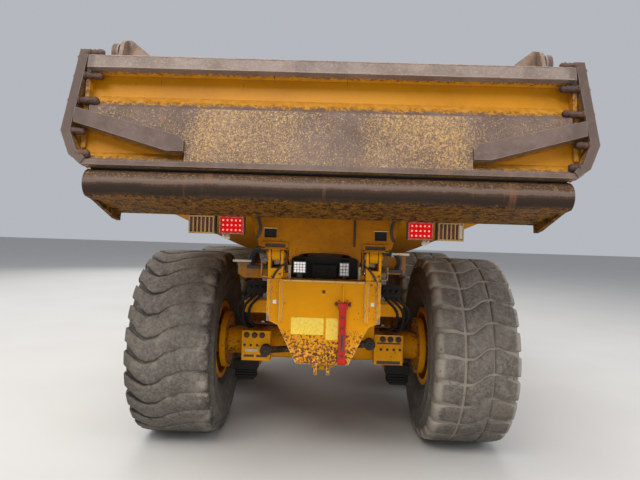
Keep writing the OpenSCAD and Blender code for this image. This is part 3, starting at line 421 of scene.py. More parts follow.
def gate_material():
    mat, nt, bsdf = new_mat("tailgate_plate")
    k = Net(nt)
    d, h = k.along(GATE_D, GATE_O), k.along(GATE_H, GATE_O)
    y = k.math("ABSOLUTE", k.axis(1))
    fine = k.noise(26, 6, 0.65)
    jag = k.math("SUBTRACT", k.noise(26, 6, 0.80), 0.5)
    # yellow of the recess, lighter and more orange on the ledges
    c = k.mix(k.step(k.noise(1.6, 5, 0.6), 0.35, 0.65), (0.355, 0.140, 0.001), (0.425, 0.175, 0.002))
    c = k.mix(k.math("MULTIPLY", k.step(fine, 0.4, 0.8), 0.3), c, (0.48, 0.205, 0.003))
    spots = k.step(k.cells(5.5), 0.055, 0.035)
    c = k.mix(k.math("MULTIPLY", spots, k.step(fine, 0.42, 0.55)), c, (0.115, 0.060, 0.018))
    drip = k.step(k.noise(1.0, 4, 0.6, vec=k.pos((1, 13, 0.8))), 0.66, 0.78)
    c = k.mix(k.math("MULTIPLY", drip, 0.35), c, (0.17, 0.10, 0.03))
    slope = k.math("MULTIPLY", k.step(d, 0.0595, 0.057), k.step(h, 0.475, 0.465))
    c = k.mix(slope, c, k.mix(k.step(fine, 0.35, 0.7), (0.27, 0.112, 0.005), (0.36, 0.170, 0.026)))
    under_rail = k.math("MULTIPLY", k.step(d, 0.058, 0.050), k.step(h, 0.55, 0.57))
    c = k.mix(under_rail, c, k.mix(k.step(fine, 0.35, 0.7), (0.50, 0.225, 0.010), (0.60, 0.290, 0.025)))
    # everything proud is worn to the plate, with a chipped border
    # long thin runs and a few bigger blotches of rust under the rail
    run = k.step(k.noise(1.0, 3, 0.6, vec=k.pos((1, 26, 1.6))), 0.70, 0.73)
    run = k.math("MULTIPLY", run, k.math("MULTIPLY", k.step(h, 0.47, 0.56), k.step(h, 0.60, 0.585)))
    c = k.mix(k.math("MULTIPLY", run, 0.8), c, (0.085, 0.035, 0.010))
    dj = k.math("ADD", d, k.math("MULTIPLY", jag, 0.110))
    border = k.math("MULTIPLY", k.step(dj, 0.034, 0.018), k.step(k.noise(58, 4, 0.75), 0.49, 0.53))
    c = k.mix(k.math("MULTIPLY", border, 0.85), c, (0.085, 0.042, 0.018))
    # the rail's own face is barer and paler than the wear plate
    proud = k.step(dj, 0.012, 0.006)
    rail_top = k.step(k.math("ADD", h, k.math("MULTIPLY", jag, 0.024)), 0.590, 0.5915)
    proud = k.math("MAXIMUM", proud, k.math("MULTIPLY", rail_top, k.step(y, 1.44, 1.43)))
    arms = k.step(d, 0.086, 0.088)
    proud = k.math("MULTIPLY", proud, k.math("SUBTRACT", 1.0, arms))
    ear = k.math("MULTIPLY", arms, k.step(k.math("ADD", k.axis(2), k.math("MULTIPLY", jag, 0.1)), 2.78, 2.84))
    proud = k.math("MAXIMUM", proud, ear)
    # grey purple-brown plate, plus tan flecks on the wear plate
    st = k.mix(k.step(k.noise(3.0, 7, 0.7), 0.36, 0.66), (0.076, 0.050, 0.041), (0.122, 0.086, 0.073))
    st = k.mix(k.math("MULTIPLY", k.step(fine, 0.45, 0.75), 0.35), st, (0.165, 0.120, 0.102))
    on_rail = k.math("MULTIPLY", k.step(h, 0.575, 0.580), k.step(y, 1.432, 1.428))
    st = k.mix(on_rail, st, k.mix(k.step(k.noise(4.0, 7, 0.7), 0.34, 0.64), (0.132, 0.100, 0.086), (0.205, 0.162, 0.143)))
    st = k.mix(k.math("MULTIPLY", on_rail, k.math("MULTIPLY", k.step(k.noise(70, 4, 0.8), 0.55, 0.60), 0.45)), st, (0.34, 0.25, 0.17))
    dense = k.math("ADD", k.math("MULTIPLY", k.step(k.noise(1.9, 3, 0.5), 0.36, 0.62), 0.5), k.math("MULTIPLY", k.math("MULTIPLY", k.step(y, 0.12, 0.32), k.step(y, 0.86, 0.72)), 0.7))
    fl = k.math("ADD", k.math("ADD", k.math("MULTIPLY", k.noise(175, 3, 0.9), 0.6), k.math("MULTIPLY", k.noise(88, 2, 0.85), 0.4)), k.math("MULTIPLY", dense, 0.075))
    fleck = k.step(fl, 0.560, 0.592)
    wear_zone = k.math("MULTIPLY", k.step(h, 0.030, 0.034), k.step(h, 0.360, 0.352))
    wear_zone = k.math("MULTIPLY", wear_zone, k.step(d, -0.020, -0.017))
    wear_zone = k.math("MULTIPLY", wear_zone, k.step(y, 1.37, 1.33))
    # painted shade: the cheeks' proud outer parts darkened
    cheek_painted_shade = k.math("MULTIPLY", k.step(y, 1.37, 1.40), k.step(d, -0.014, -0.018))
    st = k.mix(k.math("MULTIPLY", cheek_painted_shade, 0.55), st, (0.062, 0.044, 0.038))
    fc = k.mix(k.step(k.noise(60, 2, 0.5), 0.44, 0.56), (0.25, 0.150, 0.072), (0.42, 0.255, 0.095))
    st = k.mix(k.math("MULTIPLY", k.math("MULTIPLY", fleck, wear_zone), 0.92), st, fc)
    pit = k.step(k.noise(48, 3, 0.8), 0.64, 0.67)
    st = k.mix(k.math("MULTIPLY", pit, 0.55), st, (0.085, 0.058, 0.050))
    e = k.edge(0.010)
    st = k.mix(k.math("MULTIPLY", k.step(e, 0.05, 0.35), 0.45), st, (0.34, 0.25, 0.175))
    rust = k.math("MULTIPLY", k.step(k.noise(6.5, 7, 0.72), 0.54, 0.70), 0.45)
    st = k.mix(rust, st, (0.19, 0.095, 0.052))
    chip = k.step(k.math("ADD", k.noise(34, 4, 0.75), k.math("MULTIPLY", k.step(e, 0.01, 0.2), 0.16)), 0.70, 0.72)
    mask = k.math("MAXIMUM", proud, k.math("MULTIPLY", chip, 0.9))
    c = k.mix(mask, c, st)
    k.link(c, bsdf.inputs["Base Color"])
    k.link(k.math("ADD", k.math("MULTIPLY", fine, 0.22), k.math("ADD", k.math("MULTIPLY", mask, 0.06), 0.36)), bsdf.inputs["Roughness"])
    bsdf.inputs["Specular IOR Level"].default_value = 0.20
    hh = k.math("SUBTRACT", k.math("MULTIPLY", fine, 0.6), k.math("MULTIPLY", mask, 0.7))
    hh = k.math("SUBTRACT", hh, k.math("MULTIPLY", k.math("MULTIPLY", pit, proud), 0.8))
    k.bump(hh, 0.45, 0.003, bsdf)
    return mat


def lip_material():
    """Wear plate of the chute: dark brown round the nose, with a painted highlight band on its bulge and a painted
    shade band under it; chipped ochre below it, kept dark as painted shade.
    """
    mat, nt, bsdf = new_mat("chute_lip_plate")
    k = Net(nt)
    z, x = k.axis(2), k.axis(0)
    fine = k.noise(60, 6, 0.7)
    wob = k.math("MULTIPLY", k.math("SUBTRACT", k.noise(3.0, 6, 0.75), 0.5), 0.05)
    zz = k.math("ADD", z, wob)
    c = k.mix(k.step(fine, 0.35, 0.68), (0.030, 0.015, 0.008), (0.060, 0.031, 0.018))
    fl = k.step(k.math("ADD", k.math("MULTIPLY", k.noise(150, 3, 0.9), 0.6), k.math("MULTIPLY", k.noise(60, 2, 0.85), 0.4)), 0.545, 0.585)
    c = k.mix(k.math("MULTIPLY", k.math("MULTIPLY", fl, k.step(zz, 2.055, 2.085)), 0.85), c, (0.20, 0.115, 0.050))
    # painted highlight: a pale band where the nose bulges out
    hi = k.math("MULTIPLY", k.step(zz, 2.045, 2.058), k.step(zz, 2.088, 2.074))
    c = k.mix(k.math("MULTIPLY", hi, 0.75), c, (0.110, 0.077, 0.066))
    # painted shade: a near-black band where the nose turns under
    nose_shade_band = k.math("MULTIPLY", k.step(zz, 1.985, 2.000), k.step(zz, 2.045, 2.030))
    c = k.mix(k.math("MULTIPLY", nose_shade_band, 0.85), c, (0.016, 0.010, 0.008))
    # painted shade: near-black along the top edge, in the gap under the gate's foot
    c = k.mix(k.step(z, 2.127, 2.134), c, k.mix(fine, (0.010, 0.007, 0.006), (0.030, 0.020, 0.016)))
    # ochre below the nose: chipped paint, its tones kept dark as painted shade under the nose
    jag = k.math("MULTIPLY", k.math("SUBTRACT", k.noise(24, 7, 0.8), 0.5), 0.085)
    ochre = k.step(k.math("ADD", z, jag), 1.984, 1.972)
    oc = k.mix(k.step(k.noise(75, 6, 0.8), 0.38, 0.60), (0.050, 0.020, 0.002), (0.24, 0.100, 0.006))
    oc = k.mix(k.step(k.noise(22, 6, 0.8), 0.49, 0.55), oc, (0.018, 0.008, 0.004))
    c = k.mix(ochre, c, oc)
    run = k.math("MULTIPLY", k.step(k.noise(1.0, 4, 0.6, vec=k.pos((1, 9, 1.2))), 0.62, 0.72), 0.5)
    c = k.mix(run, c, (0.17, 0.072, 0.032))
    k.link(c, bsdf.inputs["Base Color"])
    k.link(k.math("ADD", k.math("MULTIPLY", fine, 0.3), k.math("ADD", k.math("MULTIPLY", ochre, 0.25), 0.34)), bsdf.inputs["Roughness"])
    bsdf.inputs["Specular IOR Level"].default_value = 0.22
    bsdf.inputs["Specular Tint"].default_value = (1.0, 0.86, 0.74, 1.0)
    k.bump(k.math("ADD", fine, k.math("MULTIPLY", ochre, k.noise(30, 5, 0.7))), 0.45, 0.003, bsdf)
    return mat


def inside_of_body(k):
    """Mask and colour of the load space, scoured by rock; the outer faces keep their paint, save the cross plate over
    the hinge, which gets painted shade.
    """
    out = k.vmath("SUBTRACT", k.tc.outputs["Object"], (-2.2, 0, 2.35))
    flat = k.vmath("MULTIPLY", out, (0.30, 1.0, 1.0))
    face = k.vmath("DOT_PRODUCT", flat, k.tc.outputs["Normal"])
    inner = k.step(face, 0.01, -0.01)
    within = k.math("MULTIPLY", k.step(k.math("ABSOLUTE", k.axis(1)), 1.393, 1.385), k.step(k.axis(0), 0.597, 0.585))
    above = k.step(k.math("SUBTRACT", k.axis(2), 1.506), 0.0, 0.004)
    m_ = k.math("MULTIPLY", k.math("MULTIPLY", inner, within), above)
    n = k.noise(1.0, 6, 0.7, vec=k.pos((0.8, 9, 9)))
    c = k.mix(k.step(n, 0.35, 0.65), (0.135, 0.100, 0.085), (0.30, 0.245, 0.21))
    c = k.mix(k.math("MULTIPLY", k.step(k.noise(4, 8, 0.72), 0.48, 0.66), 0.55), c, (0.24, 0.185, 0.13))
    c = k.mix(k.math("MULTIPLY", k.step(k.noise(30, 5, 0.75), 0.58, 0.66), 0.6), c, (0.17, 0.080, 0.042))
    rest = k.math("MULTIPLY", k.step(k.axis(2), 2.45, 2.70), k.step(k.noise(6, 6, 0.75), 0.44, 0.56))
    c = k.mix(k.math("MULTIPLY", rest, 0.75), c, (0.50, 0.25, 0.03))
    ears = k.math("MULTIPLY", k.step(k.axis(2), 2.792, 2.80), k.step(k.axis(0), -4.2, -4.22))
    ear_c = k.mix(k.step(k.noise(9, 6, 0.75), 0.36, 0.64), (0.135, 0.098, 0.078), (0.24, 0.185, 0.15))
    ear_c = k.mix(k.math("MULTIPLY", k.step(k.noise(40, 5, 0.8), 0.56, 0.62), 0.6), ear_c, (0.40, 0.22, 0.06))
    c = k.mix(ears, c, ear_c)
    m_ = k.math("MAXIMUM", m_, ears)
    # the cross plate over the hinge: painted shade under the lip, a darker, redder yellow, with specks and patches of
    # dirt
    cross = k.math("MULTIPLY", k.step(k.axis(0), -4.372, -4.376), k.step(k.axis(2), 2.02, 1.98))
    cross = k.math("MULTIPLY", cross, k.step(k.math("ABSOLUTE", k.axis(1)), 0.66, 0.62))
    cross = k.math("MULTIPLY", cross, k.math("SUBTRACT", 1.0, inner))
    shade_and_grime = k.mix(k.step(k.noise(3.2, 7, 0.7), 0.36, 0.66), (0.25, 0.082, 0.0015), (0.38, 0.135, 0.002))
    shade_and_grime = k.mix(k.step(k.noise(52, 4, 0.8), 0.60, 0.64), shade_and_grime, (0.10, 0.040, 0.012))
    shade_and_grime = k.mix(k.math("MULTIPLY", k.step(k.noise(9, 6, 0.75), 0.56, 0.68), 0.7), shade_and_grime, (0.20, 0.070, 0.010))
    c = k.mix(cross, c, shade_and_grime)
    m_ = k.math("MAXIMUM", m_, k.math("MULTIPLY", cross, 0.96))
    return m_, c


M["gate"] = gate_material()
M["lip"] = lip_material()
def rods_dark(k):
    m_ = k.step(k.math("ABSOLUTE", k.axis(1)), 0.560, 0.555)
    return m_, k.mix(k.step(k.noise(22, 5, 0.7), 0.38, 0.66), (0.030, 0.018, 0.015), (0.085, 0.055, 0.045))


M["links"] = painted("paint_links", YEL, YEL_D, chips=0.8, dirt_amount=0.5, edge_amount=0.6, rough=0.55, dirt=(0.20, 0.12, 0.06), steel=rods_dark)
M["body"] = painted("paint_body", YEL, YEL_D, chips=0.55, dirt_amount=0.35, edge_amount=0.6, steel=inside_of_body, low=(1.62, 0.10))


# ------------------------------------------------------------------ mesh helpers
def mesh_obj(name, bm, mat, body, smooth=False, bevel=0.0, parent=None, segs=2):
    bmesh.ops.recalc_face_normals(bm, faces=bm.faces)
    me = bpy.data.meshes.new(name)
    bm.to_mesh(me)
    bm.free()
    if smooth:
        for p in me.polygons:
            p.use_smooth = True
    ob = bpy.data.objects.new(name, me)
    col.objects.link(ob)
    for mt in (mat if isinstance(mat, list) else [mat]):
        me.materials.append(mt)
    if bevel:
        b = ob.modifiers.new("round", "BEVEL")
        b.width = bevel
        b.segments = segs
        b.limit_method = "ANGLE"
        b.angle_limit = math.radians(32)
    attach(ob, body)
    return ob


def add_box(bm, x0, x1, y0, y1, z0, z1, mi=0, rot=None, at=None):
    vs = [bm.verts.new((x, y, z)) for x in (x0, x1) for y in (y0, y1) for z in (z0, z1)]
    if rot is not None:
        c = Vector(at) if at is not None else Vector(((x0 + x1) / 2, (y0 + y1) / 2, (z0 + z1) / 2))
        for v in vs:
            v.co = rot @ (v.co - c) + c
    for f in ((0, 1, 3, 2), (4, 6, 7, 5), (0, 4, 5, 1), (2, 3, 7, 6), (0, 2, 6, 4), (1, 5, 7, 3)):
        face = bm.faces.new([vs[i] for i in f])
        face.material_index = mi
    return vs


def add_rod(bm, a, b, r0, r1=None, n=20, mi=0, cap=True, rings=None):
    """Round bar from a to b. rings = [(share of the length, radius), ...] shapes it along its way."""
    a, b = Vector(a), Vector(b)
    r1 = r0 if r1 is None else r1
    rings = rings or [(0.0, r0), (1.0, r1)]
    ax = (b - a).normalized()
    u = ax.orthogonal().normalized()
    v = ax.cross(u)
    loops = []
    for t, r in rings:
        c = a.lerp(b, t)
        loops.append([bm.verts.new(c + (u * math.cos(2 * math.pi * i / n) + v * math.sin(2 * math.pi * i / n)) * r) for i in range(n)])
    for p, q in zip(loops, loops[1:]):
        for i in range(n):
            f = bm.faces.new((p[i], p[(i + 1) % n], q[(i + 1) % n], q[i]))
            f.smooth = True
            f.material_index = mi
    if cap:
        for lp in (loops[0][::-1], loops[-1]):
            f = bm.faces.new(lp)
            f.material_index = mi


def add_bolt(bm, p, d, r, h, mi=0, n=6, washer=True):
    """Hexagon head with its washer, standing at p along d."""
    p, d = Vector(p), Vector(d).normalized()
    if washer:
        add_rod(bm, p - d * 0.002, p + d * h * 0.28, r * 1.35, n=16, mi=mi)
    add_rod(bm, p, p + d * h, r, n=n, mi=mi, rings=[(0, r), (0.8, r), (1, r * 0.86)])


def add_prism(bm, pts, a, b, to3, mi=0):
    """Flat outline pts, taken from a to b. to3(p, q, t) puts it in space."""
    lo = [bm.verts.new(to3(p, q, a)) for p, q in pts]
    hi = [bm.verts.new(to3(p, q, b)) for p, q in pts]
    n = len(pts)
    for i in range(n):
        bm.faces.new((lo[i], lo[(i + 1) % n], hi[(i + 1) % n], hi[i])).material_index = mi
    bm.faces.new(lo[::-1]).material_index = mi
    bm.faces.new(hi).material_index = mi


def tube(name, pts, r, mat, body, cyclic=False, res=3):
    cu = bpy.data.curves.new(name, "CURVE")
    cu.dimensions = "3D"
    cu.bevel_depth = r
    cu.bevel_resolution = res
    cu.use_fill_caps = True
    sp = cu.splines.new("NURBS")
    sp.points.add(len(pts) - 1)
    for q, p in zip(sp.points, pts):
        q.co = (*p, 1)
    sp.order_u = 4 if len(pts) > 3 else len(pts)
    sp.use_endpoint_u = True
    sp.use_cyclic_u = cyclic
    sp.resolution_u = 6
    cu.materials.append(mat)
    ob = bpy.data.objects.new(name, cu)
    col.objects.link(ob)
    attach(ob, body)
    return ob


def mirror_sides():
    return (("left", 1), ("right", -1))


def dress(node, mat, bevel=0.004, segs=2):
    ob = N[node]
    ob.data.materials.clear()
    ob.data.materials.append(mat)
    for p in ob.data.polygons:
        p.material_index = 0
    if bevel:
        b = ob.modifiers.new("round", "BEVEL")
        b.width = bevel
        b.segments = segs
        b.limit_method = "ANGLE"
        b.angle_limit = math.radians(32)


for node, mat, bevel in (
        ("rear_frame", "paint_low", 0.005), ("cross_members", "paint_low", 0.004), ("tail_box", "tail_box", 0.003), ("prop_bar", "red", 0.003),
        ("frame_hoses", "rubber", 0), ("mid_axle", "paint_low", 0.006), ("rear_axle", "paint_low", 0.006), ("bogie_links", "links", 0.005),
        ("drive_shafts", "cast", 0), ("hitch_head", "paint_low", 0.005), ("front_frame", "paint_low", 0.005), ("front_axle", "paint_low", 0.006),
        ("engine_block", "cast", 0.02), ("hood", "paint_clean", 0.012), ("grille", "dark", 0.003), ("bumper", "dark", 0.012),
        ("front_fenders", "paint", 0.008), ("cab_shell", "paint_clean", 0.008), ("cab_door", "paint_clean", 0.006), ("cab_glass", "glass", 0),
        ("door_glass", "glass", 0), ("operator_station", "plastic", 0.012), ("cab_steps", "dark", 0.002), ("mirrors", "plastic", 0.006),
        ("headlights", "lamp_clear", 0.006), ("exhaust_stack", "dark", 0.004), ("fuel_tank", "dark", 0.015),
        ("steer_barrel_left", "paint_low", 0.003), ("steer_barrel_right", "paint_low", 0.003), ("steer_rod_left", "chrome", 0), ("steer_rod_right", "chrome", 0),
        ("hoist_barrels", "paint_low", 0.004), ("hoist_rods", "chrome", 0), ("dump_body", "body", 0.004), ("headboard", "paint", 0.004),
        ("chute_lip", "lip", 0.005), ("rear_lamps", "dark", 0.003), ("lamp_hoses", "rubber", 0), ("tailgate", "gate", 0.004)):
    dress(node, M[mat], bevel)
for w in ("mid_left", "mid_right", "rear_left", "rear_right", "front_left", "front_right"):
    dress(f"rim_{w}", M["paint"], 0.004)
    dress(f"tyre_{w}", M["tyre"], 0)


# ------------------------------------------------------------------ tyres and rims
TYRE_R = 0.810
WHEELS = {"mid_left": (-1.725, 1), "mid_right": (-1.725, -1), "rear_left": (-3.395, 1), "rear_right": (-3.395, -1), "front_left": (2.45, 1), "front_right": (2.45, -1)}
TRACK = 1.197


def table(t, u):
    """Smooth value at u from rows of (place, value)."""
    if u <= t[0][0]:
        return t[0][1]
    for (u0, v0), (u1, v1) in zip(t, t[1:]):
        if u <= u1:
            q = (u - u0) / (u1 - u0)
            q = q * q * (3 - 2 * q)
            return v0 + (v1 - v0) * q
    return t[-1][1]


HALF_T = 0.3075
# side wall, columns: radius, y
WALL = [(0.326, 0.222), (0.340, 0.252), (0.356, 0.262), (0.380, 0.280), (0.400, 0.300), (0.404, 0.304), (0.412, 0.304), (0.430, 0.311), (0.500, 0.330), (0.540, 0.337),
        (0.5435, 0.341), (0.549, 0.341), (0.552, 0.3375), (0.600, 0.3415), (0.645, 0.3400), (0.648, 0.3428), (0.654, 0.3428), (0.657, 0.339), (0.690, 0.333), (0.716, 0.324),
        (0.735, 0.314), (0.750, 0.303)]
# two treads, as the two rear wheels carry; u runs from the outer to the inner shoulder
# way: line of a groove, columns u and rise; gap: half width of a groove; floor: radius of its bottom
TREADS = {
    "swept": {"n": 28, "dir": -1, "blocks": [(0.0, 1.0, 22)],
              "way": [(0, 0.042), (0.09, -0.012), (0.17, -0.060), (0.25, -0.082), (0.34, -0.070), (0.55, 0.006), (0.72, 0.044), (0.86, 0.050), (1.0, 0.040)],
              "gap": [(0, 0.034), (0.08, 0.027), (0.18, 0.016), (0.28, 0.011), (0.45, 0.0065), (0.70, 0.0038), (0.84, 0.0042), (0.92, 0.009), (1.0, 0.015)],
              "floor": [(0.0, 0.762), (0.12, 0.770), (0.3, 0.788), (0.5, 0.7985), (0.75, 0.8025), (0.90, 0.797), (1.0, 0.778)], "inner_drop": 0.012},
    "block": {"n": 26, "dir": 1, "blocks": [(0.0, 0.315, 8), (0.335, 0.655, 8), (0.690, 1.0, 7)],
              "way": [(0, -0.004), (0.12, 0.012), (0.27, 0.040), (0.36, 0.036), (0.60, -0.050), (0.68, -0.052), (0.80, -0.036), (1.0, -0.030)],
              "gap": [(0, 0.024), (0.10, 0.018), (0.20, 0.011), (0.50, 0.009), (0.68, 0.012), (0.85, 0.017), (1.0, 0.023)],
              "floor": [(0.0, 0.768), (0.15, 0.784), (0.35, 0.7965), (0.65, 0.7975), (0.90, 0.790), (1.0, 0.772)], "inner_drop": 0.009},
}


def tyre_mesh(kind, mat):
    """Radial earthmover tyre round its own Y axis, outer side towards +Y: carcass, swept or blocked lugs, wall ribs."""
    t = TREADS[kind]
    rnd = random.Random(11 if kind == "swept" else 23)
    bm = bmesh.new()
    seg = 168
    prof = list(WALL)
    for j in range(15):
        u = 0.012 + 0.976 * j / 14
        prof.append((table(t["floor"], u), HALF_T * (1 - 2 * u)))
    prof += [(r, -y) for r, y in reversed(WALL)]
    prof += [(0.326, -0.215), (0.326, 0.0)]
    loops = []
    for r, y in prof:
        loops.append([bm.verts.new((r * math.cos(2 * math.pi * i / seg), y, r * math.sin(2 * math.pi * i / seg))) for i in range(seg)])
    for p, q in zip(loops, loops[1:] + loops[:1]):
        for i in range(seg):
            bm.faces.new((p[i], p[(i + 1) % seg], q[(i + 1) % seg], q[i])).smooth = True

    def at(s, y, r):
        a = s / TYRE_R
        return (r * math.cos(a), y, r * math.sin(a))

    pitch = 2 * math.pi * TYRE_R / t["n"]

    def row(s, y, ww, top, b, c, draft=0.006):
        return [at(s - ww - draft, y, b), at(s - ww, y, top - c), at(s - ww + c, y, top), at(s - ww * 0.35, y, top + 0.0006), at(s + ww * 0.35, y, top + 0.0006),
                at(s + ww - c, y, top), at(s + ww, y, top - c), at(s + ww + draft, y, b)]

    for i in range(t["n"]):
        s0 = i * pitch
        for u0, u1, n in t["blocks"]:
            wear = rnd.uniform(-0.0025, 0.0)
            outer, inner = u0 == 0.0, u1 == 1.0
            us = [u0 + (u1 - u0) * j / n for j in range(n + 1)]
            if not outer:
                us = [u0, u0 + 0.007] + us[1:]
            if not inner:
                us = us[:-1] + [u1 - 0.007, u1]
            rows = []
            for j, u in enumerate(us):
                y = HALF_T * (1 - 2 * u)
                g = table(t["gap"], u) * rnd.uniform(0.86, 1.2)
                top = 0.8088 - 0.0045 * (1 - 2 * u) ** 2 + wear - t["inner_drop"] * max(0.0, (u - 0.86) / 0.14) ** 1.6 - 0.007 * max(0.0, (0.08 - u) / 0.08) ** 1.5
                if (not outer and j == 0) or (not inner and j == len(us) - 1):
                    top -= 0.0045
                fl = table(t["floor"], u) - 0.005
                rows.append(row(s0 + t["dir"] * table(t["way"], u) + rnd.uniform(-0.0012, 0.0012), y, pitch / 2 - g, top, min(fl, top - 0.004), min(0.005, (top - fl) * 0.4)))
            for flag, sg, u in ((outer, 1, 0.0), (inner, -1, 1.0)):
                if not flag:
                    continue
                more = []
                w0 = pitch / 2 - table(t["gap"], u)
                for yy, rt, ww in ((0.3155, 0.786, 0.97), (0.3230, 0.760, 0.90), (0.3310, 0.728, 0.76)):
                    r_ = row(s0 + t["dir"] * table(t["way"], u), yy * sg, w0 * ww, rt, rt - 0.030, 0.004, 0.005)
                    for q, dy in ((0, -0.030), (1, -0.004), (6, -0.004), (7, -0.030)):
                        v = r_[q]
                        r_[q] = (v[0], v[1] + dy * sg, v[2])
                    more.append(r_)
                rows = more[::-1] + rows if sg > 0 else rows + more
            vr = [[bm.verts.new(p) for p in r_] for r_ in rows]
            m_ = len(rows[0])
            for p, q in zip(vr, vr[1:]):
                for c in range(m_ - 1):
                    f = bm.faces.new((p[c], p[c + 1], q[c + 1], q[c]))
                    f.smooth = c in (2, 3, 4)
                bm.faces.new((p[m_ - 1], p[0], q[0], q[m_ - 1]))
            bm.faces.new(vr[0])
            bm.faces.new(vr[-1][::-1])
    bmesh.ops.recalc_face_normals(bm, faces=bm.faces)
    me = bpy.data.meshes.new(f"tyre_mesh_{kind}")
    bm.to_mesh(me)
    bm.free()
    me.materials.append(M[mat])
    return me


TYRES = {1: tyre_mesh("swept", "tyre"), -1: tyre_mesh("block", "tyre_b")}
for i, (w, (x, s)) in enumerate(WHEELS.items()):
    turned = TYRES[s].copy()
    turned.transform(Matrix.Rotation(0.31 * i, 4, "Y"))
    ob = bpy.data.objects.new(f"tyre_finish_{w}", turned)
    col.objects.link(ob)
    ob.location = (x, s * TRACK, TYRE_R)
    ob.rotation_euler = (0, 0, 0 if s > 0 else math.pi)
    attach(ob, f"wheel_{w}")
    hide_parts(f"tyre_{w}")


def rim_details(w, x, s):
    """Outer side: lock ring, planetary hub cover with its bolts, wheel nuts. Inner side: brake disc guard ring."""
    c = Vector((x, s * TRACK, TYRE_R))
    Y = Vector((0, s, 0))

    def ring(bm, prof, n=72, mi=0):
        loops = []
        for r, t in prof:
            loops.append([bm.verts.new(c + Y * t + Vector((r * math.cos(2 * math.pi * i / n), 0, r * math.sin(2 * math.pi * i / n)))) for i in range(n)])
        for p, q in zip(loops, loops[1:] + loops[:1]):
            for i in range(n):
                f = bm.faces.new((p[i], p[(i + 1) % n], q[(i + 1) % n], q[i]))
                f.smooth = True
                f.material_index = mi

    bm = bmesh.new()
    ring(bm, [(0.303, 0.262), (0.325, 0.266), (0.333, 0.276), (0.330, 0.287), (0.318, 0.290), (0.303, 0.284)])
    ring(bm, [(0.150, 0.2355), (0.214, 0.1915), (0.214, 0.199), (0.206, 0.207), (0.155, 0.242), (0.150, 0.243)])
    ring(bm, [(0.002, 0.2355), (0.105, 0.2355), (0.105, 0.252), (0.098, 0.258), (0.040, 0.262), (0.002, 0.262)])
    mesh_obj(f"hub_rings_{w}", bm, M["paint"], f"wheel_{w}")
    bm = bmesh.new()
    for i in range(20):
        a = 2 * math.pi * (i + 0.5) / 20
        p = c + Vector((0.262 * math.cos(a), 0, 0.262 * math.sin(a))) + Y * 0.0795
        add_bolt(bm, p, Y, 0.0145, 0.024)
        add_rod(bm, p + Y * 0.02, p + Y * 0.036, 0.0085, n=10)
    for i in range(12):
        a = 2 * math.pi * i / 12
        p = c + Vector((0.126 * math.cos(a), 0, 0.126 * math.sin(a))) + Y * 0.2355
        add_bolt(bm, p, Y, 0.0085, 0.010)
    for i in range(3):
        a = 2 * math.pi * i / 3 + 0.4
        add_bolt(bm, c + Vector((0.066 * math.cos(a), 0, 0.066 * math.sin(a))) + Y * 0.260, Y, 0.007, 0.007)
    # valve stem
    add_rod(bm, c + Vector((0.245, 0, 0.150)) + Y * 0.082, c + Vector((0.250, 0, 0.152)) + Y * 0.150, 0.006, n=10)
    mesh_obj(f"wheel_nuts_{w}", bm, M["steel_dark"], f"wheel_{w}")
    # inner side: bolted ring on the disc
    bm = bmesh.new()
    ring(bm, [(0.299, -0.262), (0.303, -0.240), (0.303, -0.286), (0.325, -0.289), (0.333, -0.278), (0.325, -0.266)])
    mesh_obj(f"rim_inner_ring_{w}", bm, M["paint_low"], f"wheel_{w}")


for w, (x, s) in WHEELS.items():
    rim_details(w, x, s)


# ------------------------------------------------------------------ tailgate details
DV, HV = Vector(GATE_D), Vector(GATE_H)
GO = Vector(GATE_O)


def gp(d, y, h):
    return GO + DV * d + HV * h + Vector((0, y, 0))


